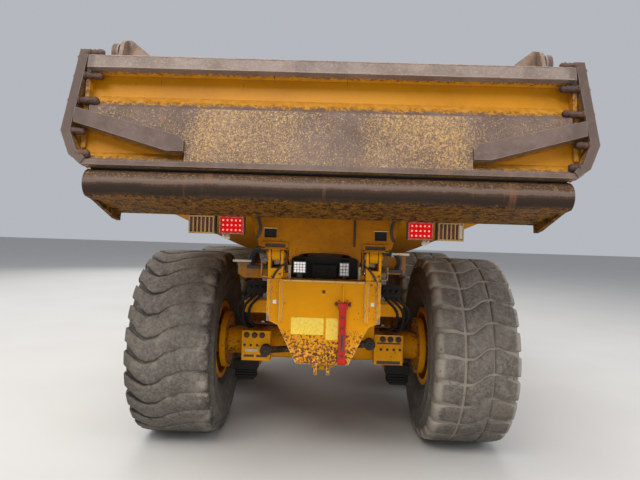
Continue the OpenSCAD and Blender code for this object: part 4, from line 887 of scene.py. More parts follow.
def gate_details():
    rnd = random.Random(5)
    # short round bars welded across each cheek, columns: height, inner y, outer y
    bars = [(0.694, 1.352, 1.462), (0.552, 1.345, 1.470), (0.392, 1.352, 1.482), (0.203, 1.412, 1.518), (0.066, 1.368, 1.478)]
    for side, s in mirror_sides():
        bm = bmesh.new()
        for h, y0, y1 in bars:
            r = 0.0205 + rnd.uniform(-0.0015, 0.0015)
            t = rnd.uniform(-0.006, 0.006)
            d0 = -0.006 if h > 0.6 else -0.002
            rings = [(0.0, r * 0.35), (0.02, r * 0.7), (0.09, r * 1.0)] + [(0.09 + 0.82 * q / 14, r * rnd.uniform(0.76, 1.18)) for q in range(1, 14)] + [(0.95, r * 1.1), (0.985, r * 0.85), (1.0, r * 0.5)]
            v0 = len(bm.verts)
            add_rod(bm, gp(d0, s * y0, h + t), gp(d0 + 0.004, s * y1, h - t), r, n=18, rings=rings)
            bm.verts.ensure_lookup_table()
            for v in bm.verts[v0:]:
                v.co += Vector((rnd.uniform(-1, 1), rnd.uniform(-1, 1), rnd.uniform(-1, 1))) * 0.0026
            # weld bead where the bar meets the cheek
            edge = 1.492 - (h - 0.2) * 0.1055 if h > 0.2 else 1.425 + (h - 0.066) * 0.5
            add_rod(bm, gp(d0 + 0.002, s * (edge - 0.010), h), gp(d0 + 0.002, s * (edge + 0.004), h), r * 1.2, n=18, rings=[(0, r * 1.02), (0.3, r * 1.22), (0.7, r * 1.2), (1, r * 1.02)])
        mesh_obj(f"gate_bars_{side}", bm, M["rusty"], "tailgate")
        # worn studs on the outer edge of the cheek
        bm = bmesh.new()
        for h, out in ((0.668, 0.016), (0.545, 0.014), (0.392, 0.014), (0.252, 0.0), (0.120, 0.006)):
            edge = 1.546 - (h - 0.197) * 0.1049 if h > 0.197 else 1.482 + (h - 0.052) * 0.4414
            tip = min(edge + out, 1.5452)
            add_rod(bm, gp(0.004, s * (edge - 0.02), h), gp(0.004, s * tip, h), 0.017, n=16, rings=[(0, 0.018), (0.75, 0.017), (0.93, 0.013), (1, 0.007)])
        mesh_obj(f"gate_studs_{side}", bm, M["rusty"], "tailgate")
        # weld beads: panel to cheek, rib to wear plate
        for nm, pts, r in (("cheek", [(0.058, 1.413, 0.585), (0.058, 1.448, 0.50), (0.058, 1.466, 0.38), (0.058, 1.488, 0.21), (0.058, 1.452, 0.11), (0.058, 1.428, 0.075)], 0.0045),
                           ("rib_up", [(-0.011, 0.830, 0.153), (-0.011, 0.858, 0.183), (-0.011, 1.120, 0.248), (-0.011, 1.400, 0.317)], 0.0055),
                           ("rib_low", [(0.058, 0.826, 0.082), (0.058, 0.921, 0.082), (0.058, 1.160, 0.152), (0.058, 1.400, 0.221), (0.058, 1.462, 0.240)], 0.005)):
            tube(f"gate_weld_{nm}_{side}", [tuple(gp(d, s * y, h)) for d, y, h in pts], r, M["gate"], "tailgate", res=2)
    # small stop on the middle of the rail, and the worn seam along its upper edge
    bm = bmesh.new()
    add_rod(bm, gp(0.0, 0.006, 0.660), gp(0.0, 0.006, 0.684), 0.014, n=14, rings=[(0, 0.016), (0.8, 0.014), (1, 0.010)])
    mesh_obj("gate_stop", bm, M["rusty"], "tailgate")
    # battered seam: an uneven bead along both long edges of the rail, columns: depth, height
    for nm, d, h in (("upper", -0.0445, 0.660), ("lower", -0.0445, 0.587)):
        bm = bmesh.new()
        n = 150
        prev = None
        for i in range(n + 1):
            y = -1.41 + 2.82 * i / n
            a = 0.0030 + rnd.uniform(0, 0.0022)
            ring = [bm.verts.new(gp(d + a * math.cos(t) * 0.6, y, h + a * math.sin(t) + rnd.uniform(-0.0012, 0.0012))) for t in (0, 1.05, 2.1, 3.14, 4.2, 5.25)]
            if prev:
                for q in range(6):
                    bm.faces.new((prev[q], prev[(q + 1) % 6], ring[(q + 1) % 6], ring[q]))
            else:
                bm.faces.new(ring)
            prev = ring
        bm.faces.new(prev[::-1])
        mesh_obj(f"gate_seam_{nm}", bm, M["steel"], "tailgate", smooth=True)
    # rubber strip that closes the gap over the lip
    bm = bmesh.new()
    add_prism(bm, [(0.032, 0.0), (0.046, 0.0), (0.046, 0.055), (0.026, 0.055), (0.032, 0.02)], -1.385, 1.385, lambda p, q, t: gp(p, t, q - 0.004))
    mesh_obj("gate_seal", bm, M["rubber"], "tailgate", bevel=0.003)
    # dark strip on the chute's edge behind the gate's foot
    bm = bmesh.new()
    add_box(bm, -5.036, -5.028, -1.384, 1.384, 2.136, 2.154)
    mesh_obj("chute_seal", bm, M["rubber"], "dump_body", bevel=0.002)


gate_details()


# ------------------------------------------------------------------ chute lip, lamps and hinge
def lip_details():
    rnd = random.Random(8)
    # weld beads between the lip and the chute's side walls, small end noses
    for side, s in mirror_sides():
        pts = [(-4.66, s * 1.3925, 1.93), (-4.80, s * 1.3925, 1.975), (-4.92, s * 1.3925, 2.02), (-5.0, s * 1.3925, 2.06)]
        tube(f"lip_weld_{side}", pts, 0.005, M["rusty"], "dump_body", res=2)
        bm = bmesh.new()
        add_prism(bm, [(-5.055, 1.985), (-5.015, 1.968), (-4.985, 1.985), (-4.995, 2.03), (-5.05, 2.03)], 1.372, 1.3915, lambda p, q, t: (p, s * t, q))
        mesh_obj(f"lip_end_nose_{side}", bm, M["rusty"], "dump_body", bevel=0.003)


lip_details()


def lamp_details():
    X = -4.600
    for side, s in mirror_sides():
        # inner: red lamp, pale frame, dark joints, five by three points of light
        y0, y1, z0, z1 = 0.551, 0.716, 1.780, 1.897
        bm = bmesh.new()
        f = 0.009
        for a in ((y0, y1, z0, z0 + f), (y0, y1, z1 - f, z1), (y0, y0 + f, z0 + f, z1 - f), (y1 - f, y1, z0 + f, z1 - f)):
            add_box(bm, X - 0.012, X + 0.004, min(s * a[0], s * a[1]), max(s * a[0], s * a[1]), a[2], a[3])
        mesh_obj(f"lamp_red_frame_{side}", bm, M["lamp_frame"], "dump_body", bevel=0.002)
        bm = bmesh.new()
        ny, nz = 10, 6
        for i in range(ny):
            for j in range(nz):
                ya = y0 + f + 0.0015 + (y1 - y0 - 2 * f - 0.003) * i / ny
                yb = y0 + f + 0.0015 + (y1 - y0 - 2 * f - 0.003) * (i + 1) / ny - 0.001
                za = z0 + f + 0.0015 + (z1 - z0 - 2 * f - 0.003) * j / nz
                zb = z0 + f + 0.0015 + (z1 - z0 - 2 * f - 0.003) * (j + 1) / nz - 0.001
                add_box(bm, X - 0.006, X + 0.003, min(s * ya, s * yb), max(s * ya, s * yb), za, zb)
        mesh_obj(f"lamp_red_lens_{side}", bm, M["lamp_red"], "dump_body", bevel=0.0015)
        bm = bmesh.new()
        for i in range(5):
            for j in range(3):
                yc = y0 + 0.026 + (y1 - y0 - 0.052) * i / 4
                zc = z0 + 0.026 + (z1 - z0 - 0.052) * j / 2
                add_rod(bm, (X - 0.002, s * yc, zc), (X - 0.0095, s * yc, zc), 0.0065, n=16, rings=[(0, 0.0072), (0.7, 0.0062), (1, 0.003)])
        mesh_obj(f"lamp_red_points_{side}", bm, M["led_dot"], "dump_body")
        # outer: amber box behind upright slats
        y0, y1 = 0.747, 0.920
        bm = bmesh.new()
        for i in range(4):
            ya, yb = y0 + 0.012 + 0.0385 * i, y0 + 0.012 + 0.0385 * i + 0.036
            add_box(bm, X - 0.006, X + 0.003, min(s * ya, s * yb), max(s * ya, s * yb), z0 + 0.012, z1 - 0.012)
        mesh_obj(f"lamp_amber_lens_{side}", bm, M["lamp_amber"], "dump_body", bevel=0.004)
        bm = bmesh.new()
        for i in range(7):
            yc = y0 + 0.006 + (y1 - y0 - 0.012) * i / 6
            add_box(bm, X - 0.024, X - 0.018, s * yc - 0.0042, s * yc + 0.0042, z0 - 0.002, z1 + 0.001)
        for zc in (z0 + 0.003, z1 - 0.004):
            add_box(bm, X - 0.019, X - 0.013, min(s * y0, s * y1), max(s * y0, s * y1), zc - 0.005, zc + 0.005)
        for yc in (y0 + 0.004, y1 - 0.004):
            for zc in (z0 + 0.006, z1 - 0.006):
                add_box(bm, X - 0.015, X + 0.004, s * yc - 0.004, s * yc + 0.004, zc - 0.006, zc + 0.006)
        mesh_obj(f"lamp_guard_{side}", bm, M["guard"], "dump_body", bevel=0.0015)
        if s < 0:
            bm = bmesh.new()
            add_box(bm, X - 0.011, X - 0.004, -0.9185, -0.884, z0 + 0.012, z1 - 0.014)
            mesh_obj("lamp_end_panel", bm, M["white"], "dump_body", bevel=0.002)
        # bracket bolts, cable gland and the short knob under the red lamp
        bm = bmesh.new()
        for yc in (0.585, 0.682, 0.780, 0.886):
            add_bolt(bm, (-4.591, s * yc, 1.925), (-1, 0, 0), 0.007, 0.007)
        mesh_obj(f"lamp_bolts_{side}", bm, M["steel_dark"], "dump_body")
        bm = bmesh.new()
        add_rod(bm, (-4.585, s * 0.664, 1.742), (-4.585, s * 0.664, 1.779), 0.018, n=18, rings=[(0, 0.012), (0.15, 0.018), (0.6, 0.018), (0.7, 0.013), (1, 0.013)])
        add_rod(bm, (-4.585, s * 0.690, 1.752), (-4.585, s * 0.690, 1.779), 0.010, n=14)
        mesh_obj(f"lamp_knob_{side}", bm, M["pale"], "dump_body")


lamp_details()


def hinge_details():
    for side, s in mirror_sides():
        # slot in each cap, light lips over the bolster windows
        bm = bmesh.new()
        add_box(bm, -4.4035, -4.400, min(s * 0.285, s * 0.427), max(s * 0.285, s * 0.427), 1.695, 1.721)
        mesh_obj(f"cap_slot_{side}", bm, M["rusty"], "dump_body", bevel=0.001)
        bm = bmesh.new()
        for ya, yb, za, zb in ((0.262, 0.450, 1.721, 1.734), (0.262, 0.285, 1.684, 1.721), (0.427, 0.450, 1.684, 1.721), (0.262, 0.450, 1.682, 1.695)):
            add_box(bm, -4.413, -4.400, min(s * ya, s * yb), max(s * ya, s * yb), za, zb)
        mesh_obj(f"cap_frame_{side}", bm, M["body"], "dump_body", bevel=0.002)
        # pale bar and plate beside the hoses
        bm = bmesh.new()
        zb_, ya_, yb_ = (1.568, 0.560, 0.700) if s > 0 else (1.655, 0.505, 0.640)
        zp_ = (1.446, 1.560) if s > 0 else (1.505, 1.648)
        add_box(bm, -4.176, -4.110, min(s * ya_, s * yb_), max(s * ya_, s * yb_), zb_, zb_ + 0.018)
        add_box(bm, -4.140, -4.120, min(s * (ya_ + 0.002), s * (ya_ + 0.022)), max(s * (ya_ + 0.002), s * (ya_ + 0.022)), zp_[1] - 0.01, zb_ + 0.002)
        mesh_obj(f"hose_bar_{side}", bm, M["pale"], "rear_frame", bevel=0.003)
        bm = bmesh.new()
        yo_ = 0.668 if s > 0 else 0.622
        add_prism(bm, [(0.404, zp_[1]), (yo_, zp_[1]), (yo_, zp_[0] + 0.030), (yo_ - 0.045, zp_[0]), (0.404, zp_[0])], -4.120, -4.108, lambda p, q, t: (t, s * p, q))
        add_box(bm, -4.135, -4.100, min(s * 0.300, s * 0.410), max(s * 0.300, s * 0.410), 1.480, 1.500)
        for yy_, zz_ in ((0.44, zp_[1] - 0.02), (yo_ - 0.03, zp_[1] - 0.02), (0.44, zp_[0] + 0.02), (yo_ - 0.075, zp_[0] + 0.022)):
            add_bolt(bm, (-4.120, s * yy_, zz_), (-1, 0, 0), 0.008, 0.007)
        mesh_obj(f"hose_plate_{side}", bm, M["paint_old"], "rear_frame", bevel=0.002)
        # brake and lubrication lines that drop from the plate to the axle, with their block
        bm = bmesh.new()
        add_box(bm, -4.095, -4.015, min(s * 0.455, s * 0.600), max(s * 0.455, s * 0.600), 1.325, 1.415)
        add_box(bm, -4.075, -4.035, min(s * 0.400, s * 0.456), max(s * 0.400, s * 0.456), 1.345, 1.395)
        for yy_ in (0.480, 0.525, 0.570):
            add_rod(bm, (-4.095, s * yy_, 1.370), (-4.118, s * yy_, 1.370), 0.014, n=12, rings=[(0, 0.014), (0.6, 0.014), (0.65, 0.010), (1, 0.010)])
        mesh_obj(f"line_block_{side}", bm, M["rubber_dark"], "rear_frame", bevel=0.004)
        for q, (ya_, yb_, yc_, zc_) in enumerate(((0.480, 0.585, 0.600, 1.105), (0.525, 0.640, 0.640, 1.075), (0.570, 0.690, 0.672, 1.120))):
            tube(f"brake_hose_{side}_{q}", [(-4.055, s * ya_, 1.330), (-4.065, s * (ya_ + 0.01), 1.290), (-4.050, s * yb_, 1.240), (-3.985, s * yc_, zc_), (-3.880, s * (yc_ - 0.03), zc_ - 0.075), (-3.740, s * (yc_ - 0.06), 1.010), (-3.560, s * (yc_ - 0.08), 0.975), (-3.460, s * (yc_ - 0.08), 0.955)],
                 0.0115, M["rubber_dark"], "rear_frame")
        bm = bmesh.new()
        add_box(bm, -4.4085, -4.390, min(s * 0.343, s * 0.443), max(s * 0.343, s * 0.443), 1.826, 1.834)
        mesh_obj(f"window_lip_{side}", bm, M["guard"], "dump_body", bevel=0.0015)
        # near-black sheet behind each window: painted shade in the opening
        bm = bmesh.new()
        add_box(bm, -4.384, -4.379, min(s * 0.345, s * 0.441), max(s * 0.345, s * 0.441), 1.757, 1.832)
        mesh_obj(f"window_back_{side}", bm, M["void"], "dump_body", bevel=0.001)
        # hinge pin ends with keeper plates and bolts, on the ears' outer and inner faces
        for y, dirn in ((0.412, 1), (0.2995, -1)):
            bm = bmesh.new()
            add_rod(bm, (-4.29, s * (y + dirn * 0.0105), 1.64), (-4.29, s * (y + dirn * 0.0165), 1.64), 0.026, n=24, rings=[(0, 0.028), (0.7, 0.028), (1, 0.024)])
            add_rod(bm, (-4.29, s * (y + dirn * 0.0165), 1.64), (-4.29, s * (y + dirn * 0.0245), 1.64), 0.006, n=12)
            mesh_obj(f"hinge_pin_end_{side}_{'out' if dirn > 0 else 'in'}", bm, M["steel_dark"], "dump_body", bevel=0.001)
            bm = bmesh.new()
            add_box(bm, -4.325, -4.255, min(s * y, s * (y + dirn * 0.007)), max(s * y, s * (y + dirn * 0.007)), 1.583, 1.600)
            for x in (-4.312, -4.268):
                add_bolt(bm, (x, s * (y + dirn * 0.007), 1.5915), (0, s * dirn, 0), 0.0065, 0.006)
            mesh_obj(f"pin_keeper_{side}_{'out' if dirn > 0 else 'in'}", bm, M["steel_dark"], "rear_frame", bevel=0.001)
        # thin pale plates beside the posts, pale rods inside them, cable over the post
        bm = bmesh.new()
        add_box(bm, -4.338, -4.242, min(s * 0.458, s * 0.462), max(s * 0.458, s * 0.462), 1.475, 1.572)
        add_box(bm, -4.330, -4.250, min(s * 0.4115, s * 0.459), max(s * 0.4115, s * 0.459), 1.475, 1.481)
        mesh_obj(f"post_plate_{side}", bm, M["guard"], "rear_frame", bevel=0.0015)
        bm = bmesh.new()
        add_rod(bm, (-4.245, s * 0.262, 1.4635), (-4.245, s * 0.262, 1.560), 0.011, n=14, rings=[(0, 0.015), (0.1, 0.015), (0.12, 0.011), (0.9, 0.011), (0.92, 0.015), (1, 0.013)])
        mesh_obj(f"grease_rod_{side}", bm, M["pale"], "rear_frame")
        tube(f"post_cable_{side}", [(-4.300, s * 0.296, 1.560), (-4.336, s * 0.292, 1.572), (-4.350, s * 0.308, 1.566), (-4.3505, s * 0.336, 1.532), (-4.3505, s * 0.362, 1.500), (-4.348, s * 0.372, 1.470), (-4.330, s * 0.380, 1.462)],
             0.0075, M["rubber"], "rear_frame")
    # pipe down the bolster, weld ring round the arch
    tube("bolster_pipe", [(-4.4095, -0.205, 1.955), (-4.4105, -0.206, 1.86), (-4.4105, -0.207, 1.77), (-4.4095, -0.207, 1.712)], 0.0075, M["rusty"], "dump_body")
    pts = [(-4.4005, s * y, z) for s, rng in ((1, ((0.256, 1.602), (0.236, 1.632), (0.180, 1.656), (0.112, 1.668))), (-1, ((0.112, 1.668), (0.180, 1.656), (0.236, 1.632), (0.256, 1.602)))) for y, z in rng]
    tube("arch_bead", pts, 0.0042, M["body"], "dump_body", res=2)
    # dark closing panel ahead of the lights, in near-black painted shade
    bm = bmesh.new()
    add_box(bm, -4.160, -4.154, -0.252, 0.252, 1.464, 1.622)
    for y in (-0.20, 0.20):
        add_box(bm, -4.1545, -4.135, y - 0.006, y + 0.006, 1.464, 1.60)
    for y in (-0.235, -0.08, 0.08, 0.235):
        add_bolt(bm, (-4.160, y, 1.600), (-1, 0, 0), 0.006, 0.004, washer=False)
    mesh_obj("closing_panel", bm, M["void"], "rear_frame", bevel=0.002)
    # work lights between the posts
    for nm, y0, y1, z0, z1, n, m_, lens in (("left", 0.137, 0.236, 1.500, 1.592, 4, 4, "led_white"), ("right", -0.186, -0.108, 1.486, 1.592, 3, 4, "lamp_clear")):
        bm = bmesh.new()
        add_box(bm, -4.236, -4.190, y0, y1, z0, z1)
        add_box(bm, -4.190, -4.176, y0 + 0.012, y1 - 0.012, z0 + 0.012, z1 - 0.012)
        for i in range(6):
            zf = z0 + 0.012 + (z1 - z0 - 0.024) * i / 5
            add_box(bm, -4.176, -4.164, y0 + 0.014, y1 - 0.014, zf - 0.0015, zf + 0.0015)
        add_box(bm, -4.222, -4.204, y0 + 0.030, y1 - 0.030, 1.464, z0)
        mesh_obj(f"work_light_body_{nm}", bm, M["plastic"], "rear_frame", bevel=0.003)
        bm = bmesh.new()
        for i in range(n):
            for j in range(m_):
                w_, h_ = (y1 - y0 - 0.012) / n, (z1 - z0 - 0.012) / m_
                ya, za = y0 + 0.006 + w_ * i, z0 + 0.006 + h_ * j
                add_box(bm, -4.2395, -4.234, ya + 0.0015, ya + w_ - 0.0015, za + 0.0015, za + h_ - 0.0015)
        mesh_obj(f"work_light_lens_{nm}", bm, M[lens], "rear_frame", bevel=0.002)
    # dark carrier between the lights
    bm = bmesh.new()
    add_box(bm, -4.215, -4.205, -0.092, 0.092, 1.478, 1.566)
    add_box(bm, -4.222, -4.205, -0.098, 0.098, 1.558, 1.568)
    add_rod(bm, (-4.215, -0.04, 1.52), (-4.230, -0.04, 1.52), 0.016, n=18)
    add_rod(bm, (-4.215, 0.04, 1.52), (-4.230, 0.04, 1.52), 0.016, n=18)
    add_box(bm, -4.2145, -4.190, -0.080, 0.080, 1.463, 1.479)
    mesh_obj("socket_carrier", bm, M["rubber_dark"], "rear_frame", bevel=0.002)


hinge_details()


# ------------------------------------------------------------------ tail box, prop bar, axles, cylinders
def ring_x(bm, c, prof, n=48, mi=0, ax=0, sg=1):
    """Turned ring round an axis through c. prof = closed outline of (radius, place along the axis)."""
    c = Vector(c)
    loops = []
    for r, t in prof:
        lp = []
        for i in range(n):
            a = 2 * math.pi * i / n
            u, v = r * math.cos(a), r * math.sin(a)
            off = {0: (sg * t, u, v), 1: (u, sg * t, v), 2: (u, v, sg * t)}[ax]
            lp.append(bm.verts.new(c + Vector(off)))
        loops.append(lp)
    for p, q in zip(loops, loops[1:] + loops[:1]):
        for i in range(n):
            f = bm.faces.new((p[i], p[(i + 1) % n], q[(i + 1) % n], q[i]))
            f.smooth = True
            f.material_index = mi


def plate_x(bm, x0, x1, pts, mi=0):
    add_prism(bm, pts, x0, x1, lambda p, q, t: (t, p, q), mi)


def tail_details():
    XR = -4.345
    # two blank label plates
    for nm, y0, y1, z0, z1 in (("wide", -0.005, 0.232, 1.066, 1.189), ("narrow", -0.109, -0.022, 1.032, 1.189)):
        bm = bmesh.new()
        c = 0.006
        plate_x(bm, XR - 0.0014, XR - 0.0002, [(y0 + c, z0), (y1 - c, z0), (y1, z0 + c), (y1, z1 - c), (y1 - c, z1), (y0 + c, z1), (y0, z1 - c), (y0, z0 + c)])
        mesh_obj(f"blank_label_{nm}", bm, M["label"], "rear_frame")
    # small pale tags on the posts with a screw each
    for s in (1, -1):
        bm = bmesh.new()
        y = s * 0.355
        add_box(bm, XR - 0.0035, XR - 0.0005, y - 0.013, y + 0.013, 1.284, 1.312)
        add_rod(bm, (XR - 0.003, y, 1.298), (XR - 0.0065, y, 1.298), 0.005, n=10)
        mesh_obj(f"tag_{'left' if s > 0 else 'right'}", bm, M["white"], "rear_frame", bevel=0.001)
    # cap strip along the top, its screws, weld beads down the posts
    bm = bmesh.new()
    add_box(bm, XR - 0.0235, XR - 0.0005, -0.296, 0.296, 1.449, 1.4625)
    for y in (-0.24, -0.08, 0.08, 0.24):
        add_bolt(bm, (XR - 0.0235, y, 1.4555), (-1, 0, 0), 0.0045, 0.004, washer=False)
    mesh_obj("tail_cap_strip", bm, M["guard"], "rear_frame", bevel=0.002)
    for side, s in mirror_sides():
        for y in (0.298, 0.322, 0.388):
            tube(f"post_weld_{side}_{int(y * 1000)}", [(XR - 0.002, s * y, 1.165), (XR - 0.002, s * y, 1.30), (XR - 0.002, s * y, 1.448)], 0.0042, M["guard"], "rear_frame", res=2)
        bm = bmesh.new()
        # light worn corner shoe at the foot of each post
        plate_x(bm, XR - 0.0215, XR - 0.0205, [(s * 0.391, 1.161), (s * 0.409, 1.161), (s * 0.409, 1.215), (s * 0.391, 1.190)])
        mesh_obj(f"post_shoe_{side}", bm, M["steel"], "rear_frame")
        # bolts on the outer flange of the box
        bm = bmesh.new()
        for z in (1.20, 1.27, 1.34, 1.41):
            add_bolt(bm, (XR + 0.055, s * 0.4105, z), (0, s, 0), 0.011, 0.010)
            add_bolt(bm, (XR + 0.095, s * 0.4105, z - 0.03), (0, s, 0), 0.011, 0.010)
        mesh_obj(f"box_bolts_{side}", bm, M["steel_dark"], "rear_frame")
    # rust spots' rivets: two plugs in the plate, tow pin heads under the foot
    bm = bmesh.new()
    for y, z in ((0.045, 0.925), (-0.045, 0.925), (0.0, 1.38)):
        add_rod(bm, (XR, y, z), (XR - 0.004, y, z), 0.012, n=18, rings=[(0, 0.013), (0.6, 0.012), (1, 0.009)])
    mesh_obj("box_plugs", bm, M["rusty"], "rear_frame")
    bm = bmesh.new()
    for s in (1, -1):
        ring_x(bm, (-4.283, s * 0.058, 0.81), [(0.0215, 0.0), (0.036, 0.0), (0.036, 0.004), (0.0215, 0.004)], ax=1, sg=s)
    mesh_obj("tow_lug_rings", bm, M["rusty"], "rear_frame")


def prop_details():
    X0 = -4.387
    yc = -0.141
    bm = bmesh.new()
    # clevis cheeks and the pin through them
    for y in (yc - 0.034, yc + 0.026):
        add_prism(bm, [(-4.392, 1.262), (-4.352, 1.262), (-4.350, 1.318), (-4.372, 1.330), (-4.394, 1.318)], y, y + 0.008, lambda p, q, t: (p, t, q))
    mesh_obj("prop_clevis", bm, M["red"], "rear_frame", bevel=0.002)
    bm = bmesh.new()
    add_rod(bm, (-4.370, yc - 0.058, 1.298), (-4.370, yc + 0.060, 1.298), 0.0105, n=16, rings=[(0, 0.008), (0.03, 0.0165), (0.10, 0.0165), (0.11, 0.0105), (0.93, 0.0105), (1.0, 0.009)])
    add_rod(bm, (-4.370, yc + 0.050, 1.284), (-4.370, yc + 0.050, 1.316), 0.003, n=8)
    mesh_obj("prop_pin", bm, M["rusty"], "rear_frame")
    # thin rod and hook over the bar
    tube("prop_rod", [(-4.366, yc, 1.300), (-4.366, yc, 1.36), (-4.366, yc, 1.415), (-4.352, yc, 1.432)], 0.0055, M["paint_clean"], "rear_frame")
    # long slot down the bar with its dark bottom, its flanges and bolts
    # the slot's depth is a near-black strip on the bar's face: painted shade
    bm = bmesh.new()
    add_box(bm, X0 - 0.0012, X0 + 0.004, yc - 0.0095, yc + 0.0095, 0.965, 1.085)
    mesh_obj("prop_slot", bm, M["plastic"], "rear_frame", bevel=0.0006)
    bm = bmesh.new()
    for y in (yc - 0.0225, yc + 0.0175):
        add_box(bm, X0 - 0.0065, X0 + 0.0005, y, y + 0.005, 0.905, 1.262)
    add_box(bm, X0 - 0.006, X0 + 0.0005, yc - 0.0225, yc + 0.0225, 1.250, 1.262)
    mesh_obj("prop_flanges", bm, M["red"], "rear_frame", bevel=0.0015)
    bm = bmesh.new()
    for z in (0.930, 1.130, 1.205):
        add_bolt(bm, (X0, yc, z), (-1, 0, 0), 0.008, 0.007)
    mesh_obj("prop_bolts", bm, M["rusty"], "rear_frame")


def axle_details(nm, x, rear, r_side, y0, y1):
    """nm, place along the truck, direction of the face with the bracket, bracket face place (not used)."""
    for side, s in mirror_sides():
        xf = x + rear * 0.300                        # outer face of the bracket
        bm = bmesh.new()
        for y in (0.519, 0.584, 0.652):
            add_bolt(bm, (xf, s * y, 0.914), (rear, 0, 0), 0.019, 0.020)
        for y in (0.505, 0.560, 0.615, 0.668):
            add_bolt(bm, (xf, s * y, 0.826), (rear, 0, 0), 0.009, 0.010)
        mesh_obj(f"bracket_bolts_{nm}_{side}", bm, M["rusty"], "rear_frame")
        # near-black strips on the bracket face for its slots: painted shade
        bm = bmesh.new()
        for ya, yb, za, zb in ((0.47, 0.565, 0.724, 0.744), (0.585, 0.672, 0.724, 0.744)) if s > 0 else ((0.47, 0.672, 0.872, 0.886), (0.47, 0.672, 0.700, 0.728)):
            add_box(bm, min(xf, xf + rear * 0.0012), max(xf, xf + rear * 0.0012), min(s * ya, s * yb), max(s * ya, s * yb), za, zb)
        mesh_obj(f"bracket_slots_{nm}_{side}", bm, M["plastic"], "rear_frame")
        bm = bmesh.new()
        if s > 0:
            add_box(bm, min(xf, xf + rear * 0.006), max(xf, xf + rear * 0.006), 0.552, 0.664, 0.770, 0.796)
        else:
            add_box(bm, min(xf, xf + rear * 0.007), max(xf, xf + rear * 0.007), -0.668, -0.462, 0.944, 0.9505)
        mesh_obj(f"bracket_strip_{nm}_{side}", bm, M["pale"], "rear_frame", bevel=0.002)
        # dark block under the bracket: spring and its clamp
        bm = bmesh.new()
        xa, xb = sorted((x + rear * 0.180, x + rear * 0.286))
        add_box(bm, xa, xb, min(s * 0.555, s * 0.762), max(s * 0.555, s * 0.762), 0.610, 0.690)
        for q in range(3):
            add_box(bm, xa + 0.008, xb - 0.008, min(s * 0.565, s * 0.752), max(s * 0.565, s * 0.752), 0.540 + 0.0235 * q, 0.558 + 0.0235 * q)
        add_box(bm, xa, xb, min(s * 0.585, s * 0.735), max(s * 0.585, s * 0.735), 0.520, 0.540)
        for y in (0.60, 0.72):
            add_rod(bm, ((xa + xb) / 2, s * y, 0.515), ((xa + xb) / 2, s * y, 0.606), 0.009, n=12)
        mesh_obj(f"spring_block_{nm}_{side}", bm, M["rubber_dark"], "rear_frame", bevel=0.004)
        # brake line along the tube, breather, disc guard bolts
        tube(f"brake_line_{nm}_{side}", [(x + rear * 0.150, s * 0.25, 0.93), (x + rear * 0.120, s * 0.40, 0.972), (x + rear * 0.110, s * 0.60, 0.970), (x + rear * 0.100, s * 0.80, 0.955), (x + rear * 0.09, s * 0.852, 0.93)],
             0.008, M["rubber"], "rear_frame")
        bm = bmesh.new()
        for q in range(16):
            a = 2 * math.pi * (q + 0.5) / 16
            add_bolt(bm, (x + 0.222 * math.cos(a), s * 0.850, 0.81 + 0.222 * math.sin(a)), (0, -s, 0), 0.010, 0.012)
        mesh_obj(f"disc_bolts_{nm}_{side}", bm, M["steel_dark"], "rear_frame")
    # bowl of the housing: flange rings with bolts on both faces, plug, ribs
    bm = bmesh.new()
    for sg in (1, -1):
        ring_x(bm, (x + sg * 0.260, 0, 0.81), [(0.145, 0.0), (0.184, 0.0), (0.184, 0.012), (0.178, 0.018), (0.145, 0.018)], sg=sg)
        ring_x(bm, (x + sg * 0.260, 0, 0.81), [(0.070, 0.0), (0.112, 0.0), (0.104, 0.030), (0.080, 0.036), (0.070, 0.036)], sg=sg)
    mesh_obj(f"bowl_rings_{nm}", bm, M["paint_low"], "rear_frame")
    bm = bmesh.new()
    for sg in (1, -1):
        for q in range(16):
            a = 2 * math.pi * (q + 0.5) / 16
            add_bolt(bm, (x + sg * 0.278, 0.165 * math.cos(a), 0.81 + 0.165 * math.sin(a)), (sg, 0, 0), 0.0085, 0.010)
            add_bolt(bm, (x + sg * 0.100, 0.200 * math.cos(a), 0.81 + 0.200 * math.sin(a)), (sg, 0, 0), 0.0085, 0.010)
    add_bolt(bm, (x + rear * 0.260, 0.0, 0.681), (rear, 0, 0), 0.012, 0.014)
    mesh_obj(f"bowl_bolts_{nm}", bm, M["steel_dark"], "rear_frame")


def rod_details():
    # eyes of the lateral rods: rubber ring and end washer, columns: x, y and z at the axle, y and z at the frame
    for nm, x, ya, za, yf, zf in (("rear", -3.725, 0.481, 0.795, -0.403, 0.875), ("mid", -1.395, 0.481, 0.930, -0.403, 0.955)):
        bm = bmesh.new()
        for y, z in ((ya, za), (yf, zf)):
            for sg in (1, -1):
                ring_x(bm, (x + sg * 0.030, y, z), [(0.016, 0.0), (0.040, 0.0), (0.037, 0.005), (0.016, 0.006)], sg=sg)
        mesh_obj(f"rod_rubbers_{nm}", bm, M["rubber"], "rear_frame")
        bm = bmesh.new()
        for y, z in ((ya, za), (yf, zf)):
            for sg in (1, -1):
                add_bolt(bm, (x + sg * 0.030, y, z), (sg, 0, 0), 0.015, 0.018)
        mesh_obj(f"rod_bolts_{nm}", bm, M["rusty"], "rear_frame")


